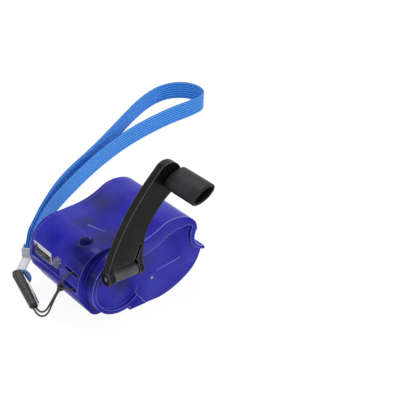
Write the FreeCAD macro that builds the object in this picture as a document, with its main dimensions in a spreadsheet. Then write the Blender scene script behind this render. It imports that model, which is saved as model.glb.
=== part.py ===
"""Hand crank phone charger: a translucent case with a folding crank that turns a geared dynamo.

Frame: X to the right with the socket nose at -X, Y to the back, Z up, in millimetres.
The origin is the centre of the flat underside.  The crank's hub and all gears turn about Y.
"""
import FreeCAD
import Part
import math
import os
import re

SIZES = {
    # side outline of the case
    "nose_reach": 27.5,
    "tail_reach": 32.9,
    "foot_left": 18.0,
    "foot_right": 9.0,
    "deck_height": 29.7,
    "crest_height": 35.6,
    "crest_place": 14.6,
    "notch_reach": 27.3,
    # case across its depth
    "case_depth": 42.0,
    "nose_setback": 5.5,
    "recess_depth": 2.0,
    "shell_wall": 1.6,
    "cover_depth": 2.6,
    "cover_bevel": 1.0,
    "land_start": 6.0,
    # ring on the front
    "ring_place": 10.7,
    "ring_height": 14.6,
    "ring_outer": 13.5,
    "ring_inner": 11.8,
    "ring_bulge": 12.2,
    "lobe_lean": 10.7,
    "rim_width": 2.3,
    "pip_radius": 0.6,
    "pip_place": 6.5,
    "pip_height": 9.9,
    "pip_rise": 0.35,
    # clearances
    "fixed_fit": 0.03,
    "running_fit": 0.05,
    "end_play": 0.1,
    "piece_gap": 0.3,
    # gear train
    "gear_module": 0.6,
    "pressure_angle": 25.0,
    "addendum_share": 0.8,
    "dedendum_share": 1.0,
    "tooth_backlash": 0.1,
    "hub_teeth": 15,
    "pinion_a_teeth": 12,
    "wheel_a_teeth": 36,
    "pinion_b_teeth": 10,
    "wheel_b_teeth": 30,
    "rotor_teeth": 9,
    "hub_offset": 0.8,
    "arbor_b_drop": 1.1,
    "rotor_rise": 2.0,
    "drive_gear_width": 2.8,
    "wheel_width": 1.8,
    "rotor_pinion_width": 2.2,
    "wheel_clearance": 0.4,
    "spacer_radius": 1.4,
    "arbor_radius": 0.75,
    "arbor_seat": 1.0,
    "boss_radius": 2.1,
    "plate_gap": 1.2,
    "plate_thickness": 1.2,
    # crank hub and hinge
    "hub_shaft_radius": 2.0,
    "bush_radius": 2.9,
    "bush_flange_radius": 3.6,
    "hub_disc_radius": 3.4,
    "hub_disc_width": 1.1,
    "hub_neck_radius": 2.2,
    "clip_radius": 3.0,
    "clip_width": 0.5,
    "barrel_gap": 3.3,
    "barrel_radius": 2.55,
    "barrel_length": 11.0,
    "eye_radius": 3.0,
    "left_leg_width": 2.9,
    "right_leg_width": 2.2,
    "hinge_pin_radius": 0.8,
    "arm_thickness": 3.5,
    "arm_reach": 42.4,
    "arm_angle": 58.4,
    "fork_clearance": 2.2,
    "groove_length": 8.0,
    "groove_width": 1.3,
    "groove_depth": 1.2,
    # knob
    "knob_half_width": 5.4,
    "knob_half_height": 2.8,
    "knob_length": 17.6,
    "knob_wall": 1.1,
    "knob_hollow": 12.5,
    "knob_tilt": 21.0,
    "axle_radius": 1.0,
    "axle_head_radius": 1.5,
    "axle_head_width": 1.0,
    # dynamo
    "can_radius": 10.0,
    "can_wall": 0.8,
    "can_length": 14.0,
    "end_cap_width": 1.2,
    "magnet_inner": 7.0,
    "magnet_length": 9.0,
    "magnet_angle": 140.0,
    "core_radius": 6.6,
    "core_length": 7.0,
    "core_collar": 2.0,
    "pole_arm_width": 2.4,
    "pole_shoe": 1.2,
    "winding_width": 4.6,
    "winding_overhang": 0.8,
    "rotor_shaft_radius": 1.0,
    "motor_bush_radius": 1.7,
    "motor_screw_place": 6.0,
    # screws
    "screw_radius": 0.9,
    "screw_head_radius": 1.5,
    "screw_head_width": 1.1,
    "screw_length": 6.0,
    # board and what stands on it
    "board_thickness": 1.2,
    "board_length": 26.8,
    "board_top": 15.7,
    "post_radius": 1.8,
    "socket_place": 6.8,
    "socket_width": 13.1,
    "socket_height": 5.7,
    "socket_length": 14.0,
    "socket_sheet": 0.3,
    "tongue_width": 11.0,
    "tongue_thickness": 2.6,
    "tongue_length": 12.6,
    "tongue_root": 3.0,
    "contact_width": 1.0,
    "contact_pitch": 2.0,
    "window_inset": 1.2,
    "lamp_radius": 2.2,
    "lamp_place": 18.6,
    "lamp_height": 20.0,
    "lamp_length": 4.6,
    "charge_lamp_radius": 2.9,
    "charge_lamp_left": 16.5,
    "charge_lamp_front": 6.0,
    "charge_lamp_depth": 3.6,
    "capacitor_radius": 2.5,
    "capacitor_height": 7.0,
    "diode_length": 3.0,
    "diode_breadth": 2.2,
    "diode_height": 1.8,
    "diode_pitch": 3.6,
    "regulator_side": 6.0,
    "regulator_height": 2.3,
    "inductor_radius": 2.6,
    "inductor_height": 3.2,
    "wire_radius": 0.5,
    # lanyard
    "pocket_front": 14.2,
    "pocket_width": 9.0,
    "pocket_bottom": 13.0,
    "pocket_height": 8.5,
    "pocket_depth": 3.7,
    "pocket_liner": 0.9,
    "bar_bottom": 15.6,
    "bar_height": 4.4,
    "bar_thickness": 1.5,
    "cord_radius": 0.4,
    "strap_thickness": 1.2,
    "strap_width": 10.0,
    "clip_length": 26.4,
    "clip_breadth": 2.9,
    "clip_height": 3.2,
    "spring_breadth": 0.8,
    "tab_length": 11.7,
    "tab_breadth": 3.6,
    "tab_thickness": 1.3,
    "crimp_length": 4.6,
    "crimp_breadth": 4.6,
    "crimp_height": 5.2,
    "crimp_wall": 0.5,
}

# Places and sizes that follow from the sheet, as formulas of its aliases and of each other.
DERIVED = {
    "land_y": "-case_depth / 2",
    "back_y": "case_depth / 2",
    "seat_y": "land_y + recess_depth",
    "seat_inner_y": "seat_y + shell_wall",
    "nose_y": "land_y + nose_setback",
    "nose_inner_y": "nose_y + shell_wall",
    "parting_y": "back_y - cover_depth",
    "ring_x": "-ring_place",
    "ring_z": "ring_height",
    "hub_mesh": "gear_module * (hub_teeth + pinion_a_teeth) / 2",
    "train_mesh": "gear_module * (wheel_a_teeth + pinion_b_teeth) / 2",
    "rotor_mesh": "gear_module * (wheel_b_teeth + rotor_teeth) / 2",
    "hub_x": "ring_x - hub_offset",
    "hub_z": "ring_z + sqrt(hub_mesh ^ 2 - hub_offset ^ 2)",
    "arbor_b_x": "ring_x + sqrt(train_mesh ^ 2 - arbor_b_drop ^ 2)",
    "arbor_b_z": "ring_z - arbor_b_drop",
    "rotor_x": "arbor_b_x + sqrt(rotor_mesh ^ 2 - rotor_rise ^ 2)",
    "rotor_z": "arbor_b_z + rotor_rise",
    "drive_y": "nose_inner_y + piece_gap",
    "drive_end_y": "drive_y + drive_gear_width",
    "hub_end_y": "drive_end_y + clip_width + 2 * end_play",
    "wheel_a_y": "hub_end_y + wheel_clearance",
    "wheel_a_end_y": "wheel_a_y + wheel_width",
    "wheel_b_y": "wheel_a_end_y + wheel_clearance",
    "wheel_b_end_y": "wheel_b_y + wheel_width",
    "plate_y": "wheel_b_end_y + plate_gap",
    "motor_y": "plate_y + plate_thickness",
    "motor_end_y": "motor_y + can_length",
    "rotor_pinion_y": "wheel_b_y - end_play",
    "core_y": "motor_y + (can_length - core_length) / 2",
    "magnet_y": "motor_y + (can_length - magnet_length) / 2",
    "barrel_y": "land_y - barrel_gap",
    "barrel_left": "hub_x - barrel_length / 2",
    "barrel_right": "hub_x + barrel_length / 2",
    "fork_left": "barrel_left - piece_gap - left_leg_width",
    "fork_right": "barrel_right + piece_gap + right_leg_width",
    "arm_front_y": "barrel_y - arm_thickness / 2",
    "arm_back_y": "barrel_y + arm_thickness / 2",
    "knob_x": "hub_x + arm_reach * cos(arm_angle * 1deg)",
    "knob_z": "hub_z + arm_reach * sin(arm_angle * 1deg)",
    "knob_y": "arm_front_y - piece_gap",
    "knob_floor_y": "knob_y - knob_length + knob_hollow",
    "screw_hole": "screw_radius + fixed_fit",
    "board_left": "-nose_reach + window_inset + shell_wall - 0.5",
    "board_back": "parting_y - 2 * piece_gap",
    "board_front": "motor_y + 2 * piece_gap",
    "board_under": "board_top - board_thickness",
    "board_right": "board_left + board_length",
    "socket_y": "parting_y - socket_place",
    "socket_front": "socket_y - socket_width / 2",
    "socket_z": "board_top + running_fit + socket_height / 2",
    "window_x": "-nose_reach + window_inset",
    "socket_end_x": "window_x + socket_length",
    "tongue_z": "socket_z + socket_height / 2 - socket_sheet - tongue_thickness - 0.3",
    "pocket_y": "-pocket_front",
    "pocket_x": "-nose_reach + pocket_depth",
    "bar_x": "-nose_reach + bar_thickness",
    "lamp_y": "parting_y - lamp_place",
    "charge_lamp_x": "-charge_lamp_left",
    "charge_lamp_y": "-charge_lamp_front",
    "charge_lamp_z": "deck_height - charge_lamp_depth",
}

WORD = re.compile(r"[a-z][a-z_]*_[a-z_]+")
TURN_TO_Y = FreeCAD.Rotation(FreeCAD.Vector(1, 0, 0), -90)
TURN_TO_X = FreeCAD.Rotation(FreeCAD.Vector(0, 1, 0), 90)
TURN_TO_FRONT = FreeCAD.Rotation(FreeCAD.Vector(1, 0, 0), 90)
TURN_DOWN = FreeCAD.Rotation(FreeCAD.Vector(1, 0, 0), 180)
UPRIGHT = FreeCAD.Rotation()

doc = FreeCAD.newDocument("crank_charger")
sheet = doc.addObject("Spreadsheet::Sheet", "Sizes")
for row, (alias, size) in enumerate(SIZES.items(), start=1):
    sheet.set(f"A{row}", alias)
    sheet.set(f"B{row}", str(size))
    sheet.setAlias(f"B{row}", alias)
doc.recompute()


def expand(formula):
    """Writes a formula of plain names as one that the document understands."""

    def swap(match):
        word = match.group(0)
        if word in DERIVED:
            return "(" + expand(DERIVED[word]) + ")"
        return "Sizes." + word

    return WORD.sub(swap, str(formula))


def number(formula):
    """The present value of a formula."""
    return float(sheet.evalExpression(expand(formula)))


def bind(item, prop, formula):
    item.setExpression(prop, expand(formula))


def settle(item, x="0", y="0", z="0", turn=UPRIGHT):
    """Turns an object and ties its place to the sheet."""
    item.Placement = FreeCAD.Placement(FreeCAD.Vector(), turn)
    bind(item, ".Placement.Base.x", x)
    bind(item, ".Placement.Base.y", y)
    bind(item, ".Placement.Base.z", z)
    return item


def block(name, x_range, y_range, z_range):
    """A box between two formulas along each axis."""
    item = doc.addObject("Part::Box", name)
    bind(item, "Length", f"{x_range[1]} - ({x_range[0]})")
    bind(item, "Width", f"{y_range[1]} - ({y_range[0]})")
    bind(item, "Height", f"{z_range[1]} - ({z_range[0]})")
    return settle(item, x_range[0], y_range[0], z_range[0])


def rod(name, radius, place, length, turn=TURN_TO_Y):
    """A cylinder from a place, along Y unless turned otherwise."""
    item = doc.addObject("Part::Cylinder", name)
    bind(item, "Radius", radius)
    bind(item, "Height", length)
    return settle(item, *place, turn)


def rod_y(name, radius, x, z, y_start, y_end):
    return rod(name, radius, (x, y_start, z), f"{y_end} - ({y_start})")


def join(name, *items):
    item = doc.addObject("Part::MultiFuse", name)
    item.Shapes = list(items)
    return item


def overlap(name, *items):
    item = doc.addObject("Part::MultiCommon", name)
    item.Shapes = list(items)
    return item


def cut(name, base, *tools):
    item = doc.addObject("Part::Cut", name)
    item.Base = base
    item.Tool = tools[0] if len(tools) == 1 else join(name + "_tools", *tools)
    return item


def group(name, items):
    """Separate solids kept as one node."""
    item = doc.addObject("Part::Compound", name)
    item.Links = list(items)
    return item


def shaped(name, shape, place=FreeCAD.Placement()):
    """A feature whose shape is made by this file."""
    item = doc.addObject("Part::Feature", name)
    item.Shape = shape
    item.Placement = place
    return item


def prism(name, wire, y_start, y_end):
    """A wire drawn in the XZ plane, carried along Y."""
    profile = shaped(name + "_profile", wire)
    bind(profile, ".Placement.Base.y", y_start)
    item = doc.addObject("Part::Extrusion", name)
    item.Base = profile
    item.DirMode = "Custom"
    item.Dir = FreeCAD.Vector(0, 1, 0)
    item.Solid = True
    bind(item, "LengthFwd", f"{y_end} - ({y_start})")
    return item


def tube(name, radius, bore, x, z, y_start, y_end):
    outer = rod_y(name + "_outer", radius, x, z, y_start, y_end)
    inner = rod_y(name + "_bore", bore, x, z, f"{y_start} - 1", f"{y_end} + 1")
    return cut(name, outer, inner)


def flat(x, z):
    return FreeCAD.Vector(x, 0, z)


def chain(steps):
    """A closed wire in the XZ plane: a step of one point is a line, one of two points an arc."""
    edges = []
    here = steps[0]
    start = here
    for step in steps[1:]:
        if len(step) == 2 and isinstance(step[0], tuple):
            edges.append(Part.Arc(flat(*here), flat(*step[0]), flat(*step[1])).toShape())
            here = step[1]
        else:
            edges.append(Part.LineSegment(flat(*here), flat(*step)).toShape())
            here = step
    if here != start:
        edges.append(Part.LineSegment(flat(*here), flat(*start)).toShape())
    return Part.Wire(edges)


def case_outline():
    """Side view of the case: socket nose, flat deck, round crest, knob notch, tail and foot."""
    nose = -number("nose_reach")
    tail = number("tail_reach")
    deck = number("deck_height")
    crest_x = number("crest_place")
    crest_z = number("crest_height")
    left = -number("foot_left")
    right = number("foot_right")
    notch = number("notch_reach")
    return chain([
        (left, 0.0),
        (right, 0.0),
        ((right + 8.4, 2.0), (right + 16.4, 5.8)),
        ((tail - 3.1, 9.6), (tail, 15.2)),
        ((tail - 0.2, 16.5), (tail - 1.2, 16.9)),
        ((notch, 21.6), (notch + 1.0, 26.3)),
        ((crest_x + 13.2, crest_z - 6.4), (crest_x + 11.7, crest_z - 4.2)),
        ((crest_x + 8.3, crest_z - 1.6), (crest_x + 4.2, crest_z - 0.3)),
        ((crest_x, crest_z), (crest_x - 4.3, crest_z - 1.0)),
        ((6.2, deck + 2.9), (2.0, deck + 1.4)),
        ((-2.1, deck + 0.6), (-6.2, deck + 0.3)),
        (nose + 14.7, deck),
        ((nose + 7.3, deck - 1.3), (nose + 3.5, deck - 4.3)),
        ((nose + 0.9, 20.4), (nose, 15.7)),
        ((nose + 0.5, 11.0), (nose + 2.3, 7.3)),
        (nose + 5.1, 3.4),
        ((left - 2.7, 1.0), (left, 0.0)),
    ])


def inset(wire, distance):
    return wire.makeOffset2D(-distance)


def seat_outline():
    """The sunk part of the front, right of the ring: band edge above, a rim along the notch."""
    start = -number("land_start")
    rim = number("notch_reach - rim_width")
    tail = number("tail_reach")
    return chain([
        (start, 10.0),
        (start, 23.8),
        (0.3, 23.8),
        ((6.0, 25.1), (10.9, 27.4)),
        ((15.5, 29.5), (21.1, 29.8)),
        ((rim - 0.6, 29.6), (rim + 0.9, 28.2)),
        ((rim, 23.7), (rim + 2.0, 18.0)),
        (tail - 0.9, 15.0),
        (tail + 7.1, 14.6),
        (tail + 7.1, -3.0),
        (4.4, -3.0),
        (-2.2, 6.3),
    ])


def gear_wire(teeth_name, turn):
    """Involute gear outline about the Y axis, its first tooth at the angle `turn` from +X."""
    teeth = int(number(teeth_name))
    module = number("gear_module")
    angle = math.radians(number("pressure_angle"))
    pitch = module * teeth / 2
    base = pitch * math.cos(angle)
    tip = pitch + module * number("addendum_share")
    root = pitch - module * number("dedendum_share")
    half = math.pi / (2 * teeth) - number("tooth_backlash") / (4 * pitch)
    involute = math.tan(angle) - angle
    flank_start = max(base, root + 0.02)
    flank = []
    for step in range(5):
        radius = flank_start + (tip - flank_start) * step / 4
        lean = math.acos(min(1.0, base / radius))
        flank.append((radius, half + involute - (math.tan(lean) - lean)))
    points = []
    for tooth in range(teeth):
        centre = turn + 2 * math.pi * tooth / teeth
        side = [(root, flank[0][1])] + flank
        for radius, lean in side:
            points.append((radius, centre - lean))
        for radius, lean in reversed(side):
            points.append((radius, centre + lean))
    corners = [flat(radius * math.cos(bearing), radius * math.sin(bearing)) for radius, bearing in points]
    return Part.makePolygon(corners + [corners[0]])


def gear(name, teeth_name, turn, x, z, y_start, y_end):
    item = prism(name, gear_wire(teeth_name, turn), y_start, y_end)
    bind(item.Base, ".Placement.Base.x", x)
    bind(item.Base, ".Placement.Base.z", z)
    return item


def meshed(turn, teeth_name, mate_name, x, z, mate_x, mate_z):
    """The turn that puts a gap of the second gear where a tooth of the first one points."""
    line = math.atan2(number(mate_z) - number(z), number(mate_x) - number(x))
    ratio = number(teeth_name) / number(mate_name)
    return line + math.pi - (turn - line) * ratio + math.pi / number(mate_name)


def screw(name, place, turn, length="screw_length"):
    """A pan head screw whose head seat is at the place and whose shank runs along its turned Z."""
    shank = rod(name + "_shank", "screw_radius", place, length, turn)
    back = turn.multVec(FreeCAD.Vector(0, 0, -1))
    x, y, z = place
    head_place = (
        f"{x} + ({back.x:.0f}) * screw_head_width",
        f"{y} + ({back.y:.0f}) * screw_head_width",
        f"{z} + ({back.z:.0f}) * screw_head_width",
    )
    head = rod(name + "_head", "screw_head_radius", head_place, "screw_head_width", turn)
    return join(name, head, shank)


def rounded_path(points):
    """Straight runs joined by tangent arcs, each as large as its two runs allow."""
    points = [FreeCAD.Vector(*point) for point in points]
    edges = []
    radii = []
    here = points[0]
    for before, corner, after in zip(points, points[1:], points[2:]):
        come = corner - before
        leave = after - corner
        shorter = min(come.Length, leave.Length)
        half_turn = come.getAngle(leave) / 2
        reach = 0.45 * shorter
        radii.append(reach / math.tan(half_turn))
        come.normalize()
        leave.normalize()
        start = corner - come * reach
        end = corner + leave * reach
        towards = leave - come
        towards.normalize()
        depth = radii[-1] / math.cos(half_turn) - radii[-1]
        middle = corner + towards * depth
        edges.append(Part.LineSegment(here, start).toShape())
        edges.append(Part.Arc(start, middle, end).toShape())
        here = end
    edges.append(Part.LineSegment(here, points[-1]).toShape())
    return Part.Wire(edges), radii


def run_tube(name, points, radius):
    """A round tube along a rounded path."""
    path, radii = rounded_path(points)
    start = FreeCAD.Vector(*points[0])
    heading = FreeCAD.Vector(*points[1]) - start
    ring = Part.Wire(Part.Circle(start, heading, radius).toShape())
    solid = path.makePipeShell([ring], True, False)
    expected = math.pi * radius ** 2 * path.Length
    print(f"{name}: length {path.Length:.1f}, volume {solid.Volume:.2f} of {expected:.2f},",
          f"smallest radius {min(radii):.2f}")
    return solid


# ---------------------------------------------------------------- case

RIDGE_LEFT = (-2.3, 0.0, 8.8)
RIDGE_RIGHT = (31.6, 0.0, 14.3)
LOBE_OVERRUN = 12.0
LOBE_BLOCK = (60.0, 40.0, 20.0)


def lobe_block():
    """The space behind the lower lobe's face, which leans forward from the ridge to the bottom edge."""
    along = FreeCAD.Vector(*RIDGE_RIGHT) - FreeCAD.Vector(*RIDGE_LEFT)
    along.normalize()
    lean = math.radians(number("lobe_lean"))
    down = FreeCAD.Vector(along.z, 0, -along.x)
    inward = down * math.cos(lean) - FreeCAD.Vector(0, math.sin(lean), 0)
    item = doc.addObject("Part::Box", "lobe_block")
    item.Length, item.Width, item.Height = LOBE_BLOCK
    corner = FreeCAD.Vector(*RIDGE_LEFT) - along * LOBE_OVERRUN
    turn = FreeCAD.Rotation(along, inward, along.cross(inward), "ZXY")
    item.Placement = FreeCAD.Placement(corner, turn)
    bind(item, ".Placement.Base.y", "seat_y")
    return item


# Centres of the screw bosses, as formulas: those of the cover and the gear plate in X and Z,
# those of the board in X and Y.
CASE_BOSSES = [
    ("-nose_reach + 6.2", "deck_height - 4.8"),
    ("-nose_reach + 7.9", "4.0"),
    ("crest_place + 8.0", "crest_height - 5.2"),
    ("foot_right + 12.5", "7.0"),
]
PLATE_BOSSES = [
    ("-nose_reach + 5.9", "deck_height - 6.7"),
    ("-nose_reach + 8.9", "3.5"),
    ("crest_place - 0.1", "crest_height - 6.3"),
    ("foot_right + 2.0", "4.0"),
]
BOARD_POSTS = [
    ("board_left + 8.2", "(board_front + socket_front) / 2"),
    ("board_left + 17.2", "board_back - 3.8"),
]


def build_housing():
    outline = case_outline()
    inner = inset(outline, number("shell_wall"))
    beyond = "land_y - 1"
    body = prism("case_body", outline, "nose_y", "parting_y")
    front = overlap(
        "case_front",
        prism("case_front_slab", outline, "land_y", "nose_y"),
        block("case_front_limit", ("-land_start", "60"), (beyond, "nose_y"), ("-5", "60")),
    )
    ring = rod_y("case_ring", "ring_outer", "ring_x", "ring_z", "land_y", "nose_y")
    outside = join("case_outside", body, front, ring)

    sunk = cut("case_sunk", prism("case_sunk_slab", seat_outline(), beyond, "seat_y"), lobe_block())
    recess = rod_y("case_recess", "ring_inner", "ring_x", "ring_z", beyond, "seat_y")
    trimmed = cut("case_trimmed", outside, sunk, recess)

    hollow_back = prism("case_hollow", inner, "nose_inner_y", "parting_y + 1")
    bulge = rod_y("case_bulge", "ring_bulge", "ring_x", "ring_z", "seat_inner_y", "nose_inner_y")
    hollow_front = overlap(
        "case_hollow_front",
        prism("case_hollow_slab", inner, "seat_inner_y", "nose_inner_y"),
        block("case_hollow_limit", ("-land_start + shell_wall", "60"), (beyond, "nose_y + 5"), ("-5", "60")),
    )
    shell = cut("case_shell", trimmed, hollow_back, bulge, hollow_front)

    # bosses and the lanyard pocket stand inside and stop at the shell's outer faces
    stubs = []
    for index, (x, z) in enumerate(CASE_BOSSES):
        stubs.append(rod_y(f"case_boss_{index}", "boss_radius", x, z,
                           "parting_y - screw_length - 1", "parting_y"))
    for index, (x, z) in enumerate(PLATE_BOSSES):
        wall_y = "seat_inner_y" if number(x) > -number("land_start") else "nose_inner_y"
        stubs.append(rod_y(f"plate_boss_{index}", "boss_radius", x, z, wall_y + " - 0.5", "plate_y"))
    for index, (x, y) in enumerate(BOARD_POSTS):
        stubs.append(rod(f"board_post_{index}", "post_radius", (x, y, "shell_wall / 2"),
                         "board_under - shell_wall / 2", UPRIGHT))
    stubs.append(rod_y("arbor_a_boss", "spacer_radius + 0.6", "ring_x", "ring_z",
                       "seat_inner_y - 0.5", "drive_y - end_play"))
    stubs.append(rod_y("arbor_b_boss", "spacer_radius + 0.6", "arbor_b_x", "arbor_b_z",
                       "seat_inner_y - 0.5", "wheel_a_y - 2 * end_play - wheel_clearance"))
    stubs.append(block("pocket_block", ("-nose_reach", "pocket_x + pocket_liner"),
                       ("pocket_y - pocket_liner", "pocket_y + pocket_width + pocket_liner"),
                       ("pocket_bottom - pocket_liner", "pocket_bottom + pocket_height + pocket_liner")))
    stubs.append(rod("lamp_collar", "charge_lamp_radius + 0.9",
                     ("charge_lamp_x", "charge_lamp_y", "charge_lamp_z"),
                     "charge_lamp_depth - shell_wall / 2", UPRIGHT))
    inside = prism("case_inside", inset(outline, number("shell_wall") / 2), "seat_y + 0.3", "parting_y")
    kept = overlap("case_stubs", join("case_stub_group", *stubs), inside)
    whole = join("case_whole", shell, kept)

    holes = []
    for index, (x, z) in enumerate(CASE_BOSSES):
        holes.append(rod_y(f"case_bore_{index}", "screw_hole", x, z,
                           "parting_y - screw_length", "parting_y + 1"))
    for index, (x, z) in enumerate(PLATE_BOSSES):
        holes.append(rod_y(f"plate_bore_{index}", "screw_hole", x, z,
                           "plate_y - screw_length", "plate_y + 1"))
    for index, (x, y) in enumerate(BOARD_POSTS):
        holes.append(rod(f"board_bore_{index}", "screw_hole", (x, y, "board_under - screw_length"),
                         "screw_length + 1", UPRIGHT))
    holes.append(rod_y("bush_hole", "bush_radius + fixed_fit", "hub_x", "hub_z", beyond, "nose_inner_y + 1"))
    holes.append(rod_y("bush_pocket", "bush_flange_radius + running_fit", "hub_x", "hub_z",
                       "seat_inner_y", "nose_inner_y + 1"))
    holes.append(rod_y("arbor_a_hole", "arbor_radius + fixed_fit", "ring_x", "ring_z",
                       "seat_inner_y - arbor_seat", "plate_y"))
    holes.append(rod_y("arbor_b_hole", "arbor_radius + fixed_fit", "arbor_b_x", "arbor_b_z",
                       "seat_inner_y - arbor_seat", "plate_y"))
    holes.append(block("window_cut", ("-nose_reach - 2", "window_x"),
                       ("lamp_y - lamp_radius - piece_gap", "parting_y"),
                       ("socket_z - socket_height / 2 - 0.9", "socket_z + socket_height / 2 + 2.4")))
    holes.append(block("socket_hole", ("-nose_reach - 2", "window_x + 4"),
                       ("socket_front - running_fit", "socket_front + socket_width + running_fit"),
                       ("socket_z - socket_height / 2 - running_fit",
                        "socket_z + socket_height / 2 + running_fit")))
    holes.append(rod("lamp_hole", "lamp_radius + running_fit", ("-nose_reach - 2", "lamp_y", "lamp_height"),
                     "lamp_length + window_inset + 2.2", TURN_TO_X))
    holes.append(rod("charge_lamp_hole", "charge_lamp_radius + running_fit",
                     ("charge_lamp_x", "charge_lamp_y", "charge_lamp_z - 1"),
                     "charge_lamp_depth + 3", UPRIGHT))
    holes.append(cut(
        "pocket_cut",
        block("pocket_space", ("-nose_reach - 2", "pocket_x"), ("pocket_y", "pocket_y + pocket_width"),
              ("pocket_bottom", "pocket_bottom + pocket_height")),
        block("pocket_bar", ("-nose_reach - 3", "bar_x"), ("pocket_y - 1", "pocket_y + pocket_width + 1"),
              ("bar_bottom", "bar_bottom + bar_height")),
    ))
    bored = cut("case_bored", whole, *holes)
    pip = rod_y("case_pip", "pip_radius", "pip_place", "pip_height", "seat_y - pip_rise", "seat_y + pip_rise")
    return join("main_housing", bored, pip)


def build_case():
    housing = build_housing()
    outline = case_outline()
    plate = prism("cover_plate", outline, "parting_y", "back_y - cover_bevel")
    crown = prism("cover_crown", inset(outline, number("cover_bevel")), "back_y - cover_bevel", "back_y")
    lip_outer = inset(outline, number("shell_wall + piece_gap"))
    lip_inner = inset(outline, number("2 * shell_wall + piece_gap"))
    lip = cut(
        "cover_lip",
        prism("cover_lip_outer", lip_outer, "parting_y - 1.2", "parting_y"),
        prism("cover_lip_inner", lip_inner, "parting_y - 2", "parting_y"),
        *[rod_y(f"lip_relief_{index}", "boss_radius + piece_gap", x, z, "parting_y - 2", "parting_y")
          for index, (x, z) in enumerate(CASE_BOSSES)],
        block("lip_socket_relief", ("-nose_reach", "socket_end_x + 1"), ("parting_y - 2", "parting_y"),
              ("board_under - 1", "socket_z + socket_height / 2 + 1")),
    )
    holes = []
    for index, (x, z) in enumerate(CASE_BOSSES):
        holes.append(rod_y(f"cover_hole_{index}", "screw_radius + 0.2", x, z, "parting_y - 1", "back_y + 1"))
        holes.append(rod_y(f"cover_counterbore_{index}", "screw_head_radius + 0.2", x, z,
                           "back_y - screw_head_width - 0.2", "back_y + 1"))
    cover = cut("back_cover", join("cover_blank", plate, crown, lip), *holes)
    screws = [
        screw(f"case_screw_{index}", (x, "back_y - screw_head_width - 0.2", z), TURN_TO_FRONT)
        for index, (x, z) in enumerate(CASE_BOSSES)
    ]
    return [housing, cover, group("case_screws", screws)]


# ---------------------------------------------------------------- crank

GROOVE_BEARING = 66.0


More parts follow.
